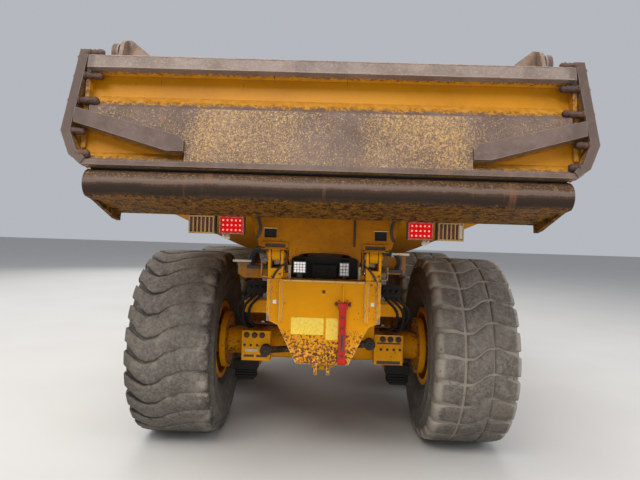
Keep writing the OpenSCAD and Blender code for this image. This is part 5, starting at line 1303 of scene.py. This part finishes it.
def cylinder_details():
    lean = math.atan2(0.370, 1.405)
    u = Vector((-math.cos(lean), 0, math.sin(lean)))
    w = Vector((math.sin(lean), 0, math.cos(lean)))
    for side, s in mirror_sides():
        b = Vector((-1.8, s * 0.43, 1.07))
        bm = bmesh.new()
        for t0, t1, r in ((0.118, 0.140, 0.094), (1.235, 1.250, 0.0985), (1.296, 1.3095, 0.080)):
            add_rod(bm, b + u * t0, b + u * t1, r, n=48, rings=[(0, r * 0.97), (0.15, r), (0.85, r), (1, r * 0.97)])
        mesh_obj(f"hoist_bands_{side}", bm, M["paint_low"], "hoist_barrels")
        tube(f"hoist_pipe_{side}", [tuple(b + u * t + w * h + Vector((0, 0, 0))) for t, h in ((0.16, 0.092), (0.20, 0.112), (0.60, 0.112), (1.10, 0.112), (1.18, 0.100), (1.20, 0.088))],
             0.012, M["dark"], "hoist_barrels")
        bm = bmesh.new()
        for t in (0.35, 0.72, 1.05):
            c = b + u * t + w * 0.104
            add_box(bm, c.x - 0.014, c.x + 0.014, c.y - 0.019, c.y + 0.019, c.z - 0.016, c.z + 0.014)
        mesh_obj(f"hoist_clamps_{side}", bm, M["dark"], "hoist_barrels", bevel=0.003)
        # pin caps on the body's forks
        bm = bmesh.new()
        for y, dr in ((0.512, 1), (0.348, -1)):
            add_rod(bm, (-3.205, s * y, 1.44), (-3.205, s * (y + dr * 0.008), 1.44), 0.038, n=28, rings=[(0, 0.040), (0.7, 0.040), (1, 0.036)])
            add_bolt(bm, (-3.205, s * (y + dr * 0.008), 1.44), (0, s * dr, 0), 0.012, 0.009)
        mesh_obj(f"hoist_pin_caps_{side}", bm, M["steel_dark"], "dump_body")
        # steering cylinders
        sb = Vector((2.08, s * 0.34, 1.0))
        su = Vector((-0.9989685, -s * 0.0454077, 0))
        bm = bmesh.new()
        for t0, t1, r in ((0.092, 0.106, 0.061), (0.548, 0.560, 0.0645), (0.588, 0.599, 0.050)):
            add_rod(bm, sb + su * t0, sb + su * t1, r, n=36, rings=[(0, r * 0.96), (0.15, r), (0.85, r), (1, r * 0.96)])
        mesh_obj(f"steer_bands_{side}", bm, M["paint_low"], f"steer_barrel_{side}")
        pts = [tuple(sb + su * t + Vector((0, 0, h))) for t, h in ((0.11, 0.060), (0.13, 0.078), (0.30, 0.080), (0.48, 0.078), (0.53, 0.060))]
        tube(f"steer_pipe_{side}", pts, 0.008, M["dark"], f"steer_barrel_{side}")
        bm = bmesh.new()
        for z in (1.0645, 0.9355):
            sg = 1 if z > 1 else -1
            add_rod(bm, (2.08, s * 0.34, z - sg * 0.0), (2.08, s * 0.34, z + sg * 0.006), 0.028, n=24)
            add_bolt(bm, (2.08, s * 0.34, z + sg * 0.006), (0, 0, sg), 0.010, 0.008)
        mesh_obj(f"steer_pin_caps_{side}", bm, M["steel_dark"], "front_unit")


tail_details()
prop_details()
axle_details("rear", -3.395, -1, 1, 0.446, 0.694)
axle_details("mid", -1.725, 1, 1, 0.446, 0.694)
rod_details()
cylinder_details()


def shaft_details():
    """Carrier bearing, flange and yoke where the drive shaft leaves the rear frame."""
    z = 0.810
    bm = bmesh.new()
    add_box(bm, 0.262, 0.278, -0.1995, 0.1995, 0.900, 1.000)
    add_box(bm, 0.262, 0.278, -0.125, 0.125, 0.735, 0.905)
    for y in (-0.17, -0.06, 0.06, 0.17):
        add_bolt(bm, (0.262, y, 0.955), (-1, 0, 0), 0.012, 0.010)
    mesh_obj("shaft_hanger", bm, M["links"], "rear_frame", bevel=0.004)
    bm = bmesh.new()
    add_rod(bm, (0.205, 0, z), (0.320, 0, z), 0.09, n=40, rings=[(0, 0.062), (0.08, 0.078), (0.30, 0.082), (0.34, 0.098), (0.80, 0.098), (0.84, 0.082), (1, 0.074)])
    for q in range(6):
        a = math.radians(60 * q + 30)
        add_bolt(bm, (0.244, 0.088 * math.cos(a), z + 0.088 * math.sin(a)), (-1, 0, 0), 0.008, 0.007, washer=False)
    mesh_obj("shaft_bearing", bm, M["dark"], "rear_frame", smooth=False)
    bm = bmesh.new()
    add_rod(bm, (0.320, 0, z), (0.352, 0, z), 0.08, n=40, rings=[(0, 0.050), (0.3, 0.050), (0.32, 0.080), (1, 0.080)])
    for q in range(8):
        a = math.radians(45 * q)
        add_bolt(bm, (0.330, 0.066 * math.cos(a), z + 0.066 * math.sin(a)), (-1, 0, 0), 0.007, 0.006, washer=False)
    for s in (-1, 1):
        add_box(bm, 0.350, 0.412, min(s * 0.040, s * 0.062), max(s * 0.040, s * 0.062), z - 0.034, z + 0.034)
        add_rod(bm, (0.388, s * 0.030, z), (0.388, s * 0.069, z), 0.024, n=20, rings=[(0, 0.024), (0.8, 0.024), (0.85, 0.019), (1, 0.019)])
    add_rod(bm, (0.388, 0, z - 0.058), (0.388, 0, z + 0.058), 0.020, n=20, rings=[(0, 0.016), (0.1, 0.020), (0.9, 0.020), (1, 0.016)])
    add_rod(bm, (0.388, -0.045, z), (0.388, 0.045, z), 0.022, n=20, rings=[(0, 0.020), (0.5, 0.026), (1, 0.020)])
    mesh_obj("shaft_yoke", bm, M["dark"], "rear_frame", bevel=0.003)


shaft_details()


# ------------------------------------------------------------------ cab, hood, fenders and front
def frame_loop(bm, pts, width, thick, to3, off=0.0):
    """Flat band round a closed outline: width inward, thick out of its plane."""
    n = len(pts)
    cx = sum(p[0] for p in pts) / n
    cy = sum(p[1] for p in pts) / n
    inner = []
    for i in range(n):
        a, b, c = Vector(pts[i - 1]), Vector(pts[i]), Vector(pts[(i + 1) % n])
        e0, e1 = (b - a).normalized(), (c - b).normalized()
        n0, n1 = Vector((-e0.y, e0.x)), Vector((-e1.y, e1.x))
        mid = (n0 + n1)
        mid = mid / max(0.3, mid.dot(n0))
        if mid.dot(Vector((cx, cy)) - b) < 0:
            mid = -mid
        inner.append(b + mid * width)
    rings = []
    for base, t in ((pts, off), (pts, off + thick), (inner, off + thick), (inner, off)):
        rings.append([bm.verts.new(to3(p[0], p[1], t)) for p in base])
    for q in range(4):
        r0, r1 = rings[q], rings[(q + 1) % 4]
        for i in range(n):
            bm.faces.new((r0[i], r0[(i + 1) % n], r1[(i + 1) % n], r1[i]))


def cab_details():
    hw = 0.79
    # rubber seals round every window, on the outer faces
    bm = bmesh.new()
    frame_loop(bm, [(-0.680, 2.33), (0.680, 2.33), (0.680, 3.22), (-0.680, 3.22)], 0.028, 0.009, lambda p, q, t: (1.700 - t, p, q))
    mesh_obj("seal_rear", bm, M["rubber"], "front_unit", bevel=0.002)
    bm = bmesh.new()
    frame_loop(bm, [(1.86, 2.33), (2.96, 2.33), (2.90, 3.22), (1.86, 3.22)], 0.028, 0.009, lambda p, q, t: (p, -hw - t, q))
    mesh_obj("seal_right", bm, M["rubber"], "front_unit", bevel=0.002)
    bm = bmesh.new()
    frame_loop(bm, [(1.80, 2.33), (1.98, 2.33), (1.98, 3.22), (1.80, 3.22)], 0.022, 0.009, lambda p, q, t: (p, hw + t, q))
    mesh_obj("seal_quarter", bm, M["rubber"], "front_unit", bevel=0.002)
    bm = bmesh.new()
    frame_loop(bm, [(2.13, 2.14), (2.85, 2.14), (2.85, 3.22), (2.13, 3.22)], 0.026, 0.009, lambda p, q, t: (p, hw + t, q))
    mesh_obj("seal_door", bm, M["rubber"], "cab_door", bevel=0.002)
    # windscreen seal lies on the sloping front: x falls as z rises
    z0, z1 = 2.45, 3.37
    def front(y, z, t):
        k_ = (z - z0) / (z1 - z0)
        x = 3.150 - 0.120 * k_
        return (x + t * 0.99, y, z + t * 0.13)
    bm = bmesh.new()
    frame_loop(bm, [(-0.70, 2.452), (0.70, 2.452), (0.70, 3.215), (-0.70, 3.215)], 0.028, 0.008, front)
    mesh_obj("seal_front", bm, M["rubber"], "front_unit", bevel=0.002)
    # wiper: spindle, arm and blade
    bm = bmesh.new()
    add_rod(bm, front(0.10, 2.43, -0.01), front(0.10, 2.43, 0.035), 0.016, n=16)
    mesh_obj("wiper_spindle", bm, M["plastic"], "front_unit")
    tube("wiper_arm", [front(0.10, 2.43, 0.030), front(0.04, 2.55, 0.034), front(-0.10, 2.72, 0.030), front(-0.22, 2.88, 0.020)], 0.007, M["plastic"], "front_unit")
    tube("wiper_blade", [front(-0.40, 2.66, 0.012), front(-0.28, 2.80, 0.014), front(-0.20, 2.91, 0.014), front(-0.06, 3.08, 0.012)], 0.009, M["rubber"], "front_unit")
    # roof: raised panel, gutter and work lamps under its eaves
    bm = bmesh.new()
    add_prism(bm, [(1.83, -0.66), (2.86, -0.66), (2.88, -0.60), (2.88, 0.60), (2.86, 0.66), (1.83, 0.66)], 3.400, 3.4285, lambda p, q, t: (p, q, t))
    mesh_obj("roof_panel", bm, M["paint_clean"], "front_unit", bevel=0.010, segs=3)
    for side, s in mirror_sides():
        bm = bmesh.new()
        add_box(bm, 1.72, 2.99, min(s * 0.789, s * 0.803), max(s * 0.789, s * 0.803), 3.338, 3.356)
        mesh_obj(f"gutter_{side}", bm, M["dark"], "front_unit", bevel=0.003)
    for i, y in enumerate((-0.52, -0.34, 0.34, 0.52)):
        bm = bmesh.new()
        x = 3.035
        add_box(bm, x, x + 0.060, y - 0.055, y + 0.055, 3.285, 3.355)
        add_box(bm, x + 0.0, x + 0.020, y - 0.020, y + 0.020, 3.268, 3.290)
        mesh_obj(f"roof_lamp_body_{i}", bm, M["plastic"], "front_unit", bevel=0.008)
        bm = bmesh.new()
        for a in range(3):
            for b in range(2):
                add_box(bm, x + 0.058, x + 0.064, y - 0.045 + 0.031 * a, y - 0.045 + 0.031 * a + 0.028, 3.293 + 0.028 * b, 3.293 + 0.028 * b + 0.025)
        mesh_obj(f"roof_lamp_lens_{i}", bm, M["lamp_clear"], "front_unit", bevel=0.003)
    # rubber mounts and the dark skirt between the cab and the frame
    for i, (x, y) in enumerate(((1.86, 0.64), (1.86, -0.64), (3.02, 0.64), (3.02, -0.64))):
        bm = bmesh.new()
        add_rod(bm, (x, y, 1.700), (x, y, 1.7895), 0.06, n=28, rings=[(0, 0.075), (0.15, 0.075), (0.2, 0.058), (0.8, 0.062), (0.85, 0.078), (1, 0.078)])
        mesh_obj(f"cab_mount_{i}", bm, M["rubber"], "front_unit")
    for side, s in mirror_sides():
        bm = bmesh.new()
        add_box(bm, 1.730, 3.120, min(s * 0.735, s * 0.745), max(s * 0.735, s * 0.745), 1.690, 1.7895)
        for q in range(9):
            add_bolt(bm, (1.80 + 0.155 * q, s * 0.745, 1.770), (0, s, 0), 0.007, 0.005)
        mesh_obj(f"cab_skirt_{side}", bm, M["plastic"], "front_unit", bevel=0.003)
    # panel seams below the windows, door handle, hinges' bolts, grab bar
    for side, s in mirror_sides():
        bm = bmesh.new()
        add_box(bm, 1.72, 2.03 if s > 0 else 3.12, min(s * 0.7895, s * 0.7935), max(s * 0.7895, s * 0.7935), 2.255, 2.268)
        mesh_obj(f"belt_trim_{side}", bm, M["dark"], "front_unit", bevel=0.0015)
    bm = bmesh.new()
    add_box(bm, 2.080, 2.200, 0.7895, 0.795, 2.02, 2.085)
    mesh_obj("door_handle_plate", bm, M["plastic"], "cab_door", bevel=0.004)
    tube("door_handle", [(2.095, 0.795, 2.055), (2.098, 0.828, 2.056), (2.14, 0.832, 2.056), (2.182, 0.828, 2.056), (2.185, 0.795, 2.055)], 0.008, M["plastic"], "cab_door")
    tube("door_grab_bar", [(2.10, 0.790, 2.18), (2.10, 0.845, 2.19), (2.10, 0.850, 2.30), (2.10, 0.850, 2.62), (2.10, 0.845, 2.73), (2.10, 0.790, 2.74)], 0.011, M["dark"], "cab_door")
    bm = bmesh.new()
    for z in (2.000, 2.900):
        for zz in (0.035, 0.085):
            add_bolt(bm, (2.905, 0.810, z + zz), (0, 1, 0), 0.0075, 0.006)
    mesh_obj("door_hinge_bolts", bm, M["steel_dark"], "cab_door")
    bm = bmesh.new()
    frame_loop(bm, [(2.07, 1.890), (2.91, 1.890), (2.91, 2.105), (2.07, 2.105)], 0.016, 0.004, lambda p, q, t: (p, 0.79 + t, q))
    mesh_obj("door_press_line", bm, M["paint_clean"], "cab_door", bevel=0.0015)
    # seat cover with bolsters and seams, levers
    bm = bmesh.new()
    def cushion(x0, x1, y0, y1, z0, z1, nx=8, ny=8, crown=0.018, lean=0.0):
        g = [[None] * (ny + 1) for _ in range(nx + 1)]
        for i in range(nx + 1):
            for j in range(ny + 1):
                u_, v_ = i / nx, j / ny
                e = (1 - (2 * u_ - 1) ** 4) * (1 - (2 * v_ - 1) ** 4)
                groove = 0.006 if j in (2, ny - 2) else 0.0
                g[i][j] = bm.verts.new((x0 + (x1 - x0) * u_, y0 + (y1 - y0) * v_, z1 - crown + crown * e - groove))
        lo = [[bm.verts.new((x0 + (x1 - x0) * i / nx, y0 + (y1 - y0) * j / ny, z0)) if i in (0, nx) or j in (0, ny) else None for j in range(ny + 1)] for i in range(nx + 1)]
        for i in range(nx):
            for j in range(ny):
                bm.faces.new((g[i][j], g[i + 1][j], g[i + 1][j + 1], g[i][j + 1]))
        for i in range(nx):
            bm.faces.new((g[i][0], lo[i][0], lo[i + 1][0], g[i + 1][0]))
            bm.faces.new((g[i][ny], g[i + 1][ny], lo[i + 1][ny], lo[i][ny]))
        for j in range(ny):
            bm.faces.new((g[0][j], g[0][j + 1], lo[0][j + 1], lo[0][j]))
            bm.faces.new((g[nx][j], lo[nx][j], lo[nx][j + 1], g[nx][j + 1]))
        bm.faces.new([lo[i][0] for i in range(nx + 1)] + [lo[nx][j] for j in range(1, ny + 1)] + [lo[i][ny] for i in range(nx - 1, -1, -1)] + [lo[0][j] for j in range(ny - 1, 0, -1)])
    cushion(2.02, 2.53, -0.255, 0.255, 2.325, 2.375)
    ob = mesh_obj("seat_pad", bm, M["seat"], "front_unit", smooth=True, bevel=0.006)
    for i, y in enumerate((-0.37, 0.37)):
        bm = bmesh.new()
        add_prism(bm, [(2.02, 2.10), (2.46, 2.10), (2.48, 2.46), (2.36, 2.50), (2.04, 2.50)], y - 0.055, y + 0.055, lambda p, q, t: (p, t, q))
        mesh_obj(f"arm_console_{i}", bm, M["plastic"], "front_unit", bevel=0.015, segs=3)
        bm = bmesh.new()
        add_rod(bm, (2.40, y, 2.49), (2.41, y, 2.585), 0.010, n=14, rings=[(0, 0.016), (0.25, 0.009), (0.6, 0.009), (0.7, 0.018), (0.9, 0.020), (1, 0.012)])
        mesh_obj(f"lever_{i}", bm, M["plastic"], "front_unit")
    bm = bmesh.new()
    add_prism(bm, [(1.915, 3.00), (2.03, 3.00), (2.035, 3.15), (1.99, 3.19), (1.92, 3.18)], -0.13, 0.13, lambda p, q, t: (p, t, q))
    mesh_obj("head_rest", bm, M["seat"], "front_unit", bevel=0.025, segs=3)
    bm = bmesh.new()
    add_box(bm, 2.855, 2.875, -0.26, 0.26, 2.30, 2.44)
    for i in range(3):
        add_rod(bm, (2.856, -0.15 + 0.15 * i, 2.375), (2.846, -0.15 + 0.15 * i, 2.375), 0.045, n=24, rings=[(0, 0.050), (0.6, 0.050), (1, 0.044)])
    mesh_obj("dash_hood", bm, M["plastic"], "front_unit", bevel=0.006)
    # mirror glasses and their feet
    for side, s in mirror_sides():
        bm = bmesh.new()
        add_box(bm, 3.1625, 3.166, min(s * 1.172, s * 1.348), max(s * 1.172, s * 1.348), 2.845, 3.035)
        add_box(bm, 3.1625, 3.166, min(s * 1.172, s * 1.348), max(s * 1.172, s * 1.348), 2.715, 2.830)
        mesh_obj(f"mirror_glass_{side}", bm, M["mirror"], "front_unit", bevel=0.002)
        bm = bmesh.new()
        add_rod(bm, (3.04, s * 0.788, 2.95), (3.04, s * 0.800, 2.95), 0.035, n=24)
        for q in range(4):
            a = math.pi / 4 + q * math.pi / 2
            add_bolt(bm, (3.04 + 0.024 * math.cos(a), s * 0.800, 2.95 + 0.024 * math.sin(a)), (0, s, 0), 0.005, 0.005, washer=False)
        mesh_obj(f"mirror_foot_{side}", bm, M["dark"], "front_unit", bevel=0.002)


def hood_details():
    # louvres down both sides of the hood, latches
    for side, s in mirror_sides():
        bm = bmesh.new()
        for i in range(12):
            x = 3.42 + 0.085 * i
            add_prism(bm, [(x, 0.7895), (x + 0.055, 0.7895), (x + 0.055, 0.7905), (x + 0.004, 0.8035), (x, 0.8035)], 1.52, 1.86, lambda p, q, t: (p, s * q, t))
        mesh_obj(f"hood_louvres_{side}", bm, M["paint_clean"], "hood", bevel=0.0015)
        bm = bmesh.new()
        frame_loop(bm, [(3.385, 1.49), (4.475, 1.49), (4.475, 1.89), (3.385, 1.89)], 0.018, 0.006, lambda p, q, t: (p, s * (0.79 + t), q))
        mesh_obj(f"hood_louvre_frame_{side}", bm, M["paint_clean"], "hood", bevel=0.002)
        bm = bmesh.new()
        for x in (3.29, 4.62):
            add_box(bm, x, x + 0.032, min(s * 0.7895, s * 0.806), max(s * 0.7895, s * 0.806), 1.60, 1.69)
            add_box(bm, x - 0.006, x + 0.038, min(s * 0.7895, s * 0.799), max(s * 0.7895, s * 0.799), 1.585, 1.605)
        mesh_obj(f"hood_latches_{side}", bm, M["plastic"], "hood", bevel=0.003)
    bm = bmesh.new()
    # raised beads along the top follow the fall of the hood
    line = [(3.24, 2.497), (4.495, 2.333), (4.78, 2.214)]
    for y in (-0.40, 0.40):
        prev = None
        for x, z in line:
            ring = [bm.verts.new((x, y - 0.020, z - 0.004)), bm.verts.new((x, y - 0.010, z + 0.006)), bm.verts.new((x, y + 0.010, z + 0.006)), bm.verts.new((x, y + 0.020, z - 0.004))]
            if prev:
                for q in range(4):
                    bm.faces.new((prev[q], prev[(q + 1) % 4], ring[(q + 1) % 4], ring[q]))
            else:
                bm.faces.new(ring)
            prev = ring
        bm.faces.new(prev[::-1])
    mesh_obj("hood_beads", bm, M["paint_clean"], "hood", bevel=0.002)
    # inlet mesh on the top, in a frame
    bm = bmesh.new()
    for i in range(14):
        x = 3.42 + 0.045 * i
        z = 2.5 - (x - 3.2) * 0.1308
        add_box(bm, x, x + 0.020, -0.26, 0.26, z - 0.004, z + 0.005)
    mesh_obj("hood_inlet_slats", bm, M["dark"], "hood", bevel=0.0015)
    # grille: frame, upright bars and cross bars on the dark panel
    bm = bmesh.new()
    frame_loop(bm, [(-0.640, 1.44), (0.640, 1.44), (0.640, 1.93), (-0.640, 1.93)], 0.040, 0.018, lambda p, q, t: (4.985 + t, p, q))
    mesh_obj("grille_frame", bm, M["dark"], "hood", bevel=0.004)
    bm = bmesh.new()
    for i in range(29):
        y = -0.588 + 1.176 * i / 28
        add_box(bm, 4.984, 4.996, y - 0.006, y + 0.006, 1.482, 1.888)
    for z in (1.58, 1.685, 1.79):
        add_box(bm, 4.992, 5.001, -0.60, 0.60, z - 0.009, z + 0.009)
    mesh_obj("grille_bars", bm, M["dark"], "hood", bevel=0.0015)


def front_details():
    # headlamps: bezel, reflector bowl and clear lens
    for side, s in mirror_sides():
        for j, y0 in enumerate((0.96, 1.18)):
            bm = bmesh.new()
            frame_loop(bm, [(y0 - 0.004, 1.336), (y0 + 0.174, 1.336), (y0 + 0.174, 1.484), (y0 - 0.004, 1.484)], 0.018, 0.012, lambda p, q, t: (4.903 + t, s * p, q))
            mesh_obj(f"headlamp_bezel_{side}_{j}", bm, M["plastic"], "front_unit", bevel=0.004)
            bm = bmesh.new()
            c = (4.905, s * (y0 + 0.085), 1.41)
            ring_x(bm, c, [(0.004, 0.0), (0.050, 0.0), (0.050, 0.006), (0.036, 0.004), (0.015, 0.0015), (0.004, 0.0015)], n=36)
            mesh_obj(f"headlamp_bowl_{side}_{j}", bm, M["bright"], "front_unit")
            bm = bmesh.new()
            for i in range(6):
                for q in range(5):
                    ya, za = y0 + 0.018 + 0.0225 * i, 1.356 + 0.0218 * q
                    add_box(bm, 4.9105, 4.9135, min(s * ya, s * (ya + 0.0215)), max(s * ya, s * (ya + 0.0215)), za, za + 0.0208)
            mesh_obj(f"headlamp_lens_{side}_{j}", bm, M["lamp_clear"], "front_unit", bevel=0.002)
        # fender: rolled lip along the wheel arch, tread plate buttons on top
        pts = [(1.702, s * 1.531, 1.642), (1.730, s * 1.531, 1.752), (2.0, s * 1.531, 1.7505), (2.6, s * 1.531, 1.7505), (3.12, s * 1.531, 1.7505), (3.20, s * 1.531, 1.70), (3.43, s * 1.531, 1.39), (3.475, s * 1.531, 1.10)]
        tube(f"fender_lip_{side}", pts, 0.009, M["rubber"], "front_unit")
        bm = bmesh.new()
        for i in range(24):
            for q in range(5):
                x, y = 3.32 + 0.042 * i, 0.90 + 0.10 * q + (0.05 if i % 2 else 0)
                if (x - 3.34) ** 2 + (y * s + 0.96) ** 2 < 0.03 or y > 1.36:
                    continue
                a = 0.6 if (i + q) % 2 else -0.6
                c = Vector((x, s * y, 1.776))
                u_ = Vector((math.cos(a), math.sin(a), 0)) * 0.017
                v_ = Vector((-math.sin(a), math.cos(a), 0)) * 0.0045
                vs = [bm.verts.new(c + u_ + Vector((0, 0, -0.002))), bm.verts.new(c + v_ + Vector((0, 0, -0.002))), bm.verts.new(c - u_ + Vector((0, 0, -0.002))), bm.verts.new(c - v_ + Vector((0, 0, -0.002)))]
                t_ = [bm.verts.new(c + u_ * 0.6 + Vector((0, 0, 0.0025))), bm.verts.new(c + v_ * 0.6 + Vector((0, 0, 0.0025))), bm.verts.new(c - u_ * 0.6 + Vector((0, 0, 0.0025))), bm.verts.new(c - v_ * 0.6 + Vector((0, 0, 0.0025)))]
                for e in range(4):
                    bm.faces.new((vs[e], vs[(e + 1) % 4], t_[(e + 1) % 4], t_[e]))
                bm.faces.new(t_)
                bm.faces.new(vs[::-1])
        mesh_obj(f"walkway_tread_{side}", bm, M["steel"], "front_unit")
    # bumper: bolts, tread strip along its top
    bm = bmesh.new()
    for y in (-1.20, -0.70, -0.30, 0.30, 0.70, 1.20):
        xs = 5.12 if abs(y) < 0.9 else 5.12 - (abs(y) - 0.9) / 0.45 * 0.10
        for z in (0.70, 1.10):
            add_bolt(bm, (xs - 0.004, y, z), (1, 0, 0) if abs(y) < 0.9 else (1, 0.22 * (1 if y > 0 else -1), 0), 0.012, 0.003, washer=False)
    mesh_obj("bumper_bolts", bm, M["steel_dark"], "front_unit")
    bm = bmesh.new()
    for i in range(30):
        for q in range(2):
            y = -1.2 + 2.4 * i / 29
            add_box(bm, 4.935 + 0.05 * q, 4.965 + 0.05 * q, y - 0.010, y + 0.010, 1.189, 1.193)
    mesh_obj("bumper_tread", bm, M["steel"], "front_unit", bevel=0.001)
    # exhaust: heat shield with slots, clamp bands
    c = Vector((3.34, -0.96, 0))
    bm = bmesh.new()
    for z0, z1, r in ((1.80, 1.825, 0.114), (2.115, 2.140, 0.114), (2.45, 2.47, 0.064), (2.95, 2.97, 0.064)):
        ring_x(bm, (c.x, c.y, z0), [(r - 0.006, 0.0), (r, 0.002), (r, z1 - z0 - 0.002), (r - 0.006, z1 - z0)], ax=2)
    mesh_obj("exhaust_bands", bm, M["steel_dark"], "front_unit")
    bm = bmesh.new()
    for i in range(16):
        a0 = 2 * math.pi * i / 16
        for z0 in (2.20, 2.29, 2.38):
            for part in range(1):
                r = 0.078
                pa, pb = a0 + 0.05, a0 + 2 * math.pi / 16 - 0.05
                vs = [bm.verts.new((c.x + rr * math.cos(a), c.y + rr * math.sin(a), z)) for rr, a, z in
                      ((r, pa, z0), (r, pb, z0), (r, pb, z0 + 0.07), (r, pa, z0 + 0.07), (r - 0.004, pa, z0), (r - 0.004, pb, z0), (r - 0.004, pb, z0 + 0.07), (r - 0.004, pa, z0 + 0.07))]
                for f in ((0, 1, 2, 3), (7, 6, 5, 4), (0, 4, 5, 1), (1, 5, 6, 2), (2, 6, 7, 3), (3, 7, 4, 0)):
                    bm.faces.new([vs[q] for q in f])
    for z in (2.195, 2.275, 2.365, 2.455):
        ring_x(bm, (c.x, c.y, z), [(0.060, 0.0), (0.079, 0.0), (0.079, 0.010), (0.060, 0.010)], ax=2)
    mesh_obj("exhaust_heat_shield", bm, M["bright"], "front_unit")
    # tank: filler cap, straps; ladder and handrail fittings
    bm = bmesh.new()
    add_rod(bm, (3.70, -1.405, 1.16), (3.70, -1.452, 1.18), 0.055, n=30, rings=[(0, 0.045), (0.4, 0.045), (0.45, 0.055), (0.9, 0.055), (1, 0.048)])
    mesh_obj("tank_cap", bm, M["plastic"], "front_unit")
    bm = bmesh.new()
    for x in (3.66, 4.06):
        add_box(bm, x, x + 0.045, -1.4045, -1.4005, 0.70, 1.262)
        add_box(bm, x, x + 0.045, -1.4045, -0.60, 1.259, 1.264)
        add_bolt(bm, (x + 0.022, -1.404, 1.12), (0, -1, 0), 0.009, 0.010)
    mesh_obj("tank_straps", bm, M["steel"], "front_unit", bevel=0.001)
    bm = bmesh.new()
    for z in (0.62, 0.94, 1.18):
        for i in range(9):
            for q in range(7):
                x, y = 3.60 + 0.056 * i, 1.03 + 0.055 * q
                add_rod(bm, (x, y, z + 0.029), (x, y, z + 0.0335), 0.012, n=8, rings=[(0, 0.013), (0.6, 0.011), (1, 0.008)])
    mesh_obj("ladder_grip_studs", bm, M["bright"], "front_unit")
    bm = bmesh.new()
    for x in (3.42, 4.30):
        for s in (1, -1):
            add_rod(bm, (x, s * 1.38, 1.774), (x, s * 1.38, 1.784), 0.045, n=24)
            for q in range(3):
                a = q * 2.094 + 0.5
                add_bolt(bm, (x + 0.031 * math.cos(a), s * 1.38 + 0.031 * math.sin(a), 1.784), (0, 0, 1), 0.005, 0.005, washer=False)
    mesh_obj("handrail_feet", bm, M["dark"], "front_unit")


M["mirror"] = plain("mirror_glass", (0.55, 0.58, 0.60), (0.62, 0.65, 0.67), (0.02, 0.08), metal=1.0, scale=8, bump=0.01, dust=(0.4, 0.38, 0.33), dust_amount=0.15)
cab_details()
hood_details()
front_details()


# ------------------------------------------------------------------ studio
def studio():
    me = bpy.data.meshes.new("floor")
    bm = bmesh.new()
    n = 40
    vs = [[bm.verts.new((-70 + 140 * i / n, -70 + 140 * j / n, 0)) for j in range(n + 1)] for i in range(n + 1)]
    for i in range(n):
        for j in range(n):
            bm.faces.new((vs[i][j], vs[i + 1][j], vs[i + 1][j + 1], vs[i][j + 1]))
    bm.to_mesh(me)
    bm.free()
    mat, nt, bsdf = new_mat("studio_floor")
    k = Net(nt)
    c = k.mix(k.noise(0.8, 3, 0.5), (0.44, 0.435, 0.42), (0.50, 0.49, 0.475))
    k.link(c, bsdf.inputs["Base Color"])
    bsdf.inputs["Roughness"].default_value = 0.9
    me.materials.append(mat)
    fl = bpy.data.objects.new("floor", me)
    col.objects.link(fl)
    w = bpy.data.worlds.new("studio")
    scene.world = w
    w.use_nodes = True
    bg = w.node_tree.nodes["Background"]
    bg.inputs[0].default_value = (0.88, 0.92, 1.0, 1)
    bg.inputs[1].default_value = 0.52

    def area(name, at, to, size, watts, colour=(1, 1, 1)):
        ld = bpy.data.lights.new(name, "AREA")
        ld.shape = "RECTANGLE"
        ld.size, ld.size_y = size
        ld.energy = watts
        ld.color = colour
        lo = bpy.data.objects.new(name, ld)
        col.objects.link(lo)
        lo.location = at
        lo.rotation_euler = (Vector(to) - Vector(at)).to_track_quat("-Z", "Y").to_euler()

    area("key", (-11.5, 2.5, 11), (-3, 0, 1.5), (9, 7), 1900, (1.0, 0.965, 0.90))
    area("fill_right", (-9, -10, 6), (-2, 0, 1.5), (8, 6), 620, (0.95, 0.97, 1.0))
    area("top", (1, 0, 13), (0, 0, 1), (12, 8), 950, (1, 1, 1))
    area("front", (13, 7, 8), (2, 0, 1.5), (8, 8), 760, (1.0, 0.98, 0.95))
    area("side_left", (0, 13, 6), (0, 0, 1.5), (10, 6), 420, (1, 1, 1))
    area("low_rear", (-11.5, 0, 1.0), (-4, 0, 1.0), (8, 1.4), 85, (1.0, 0.97, 0.92))
    scene.view_settings.view_transform = "Standard"
    scene.view_settings.look = "None"
    scene.view_settings.exposure = 0.0


studio()
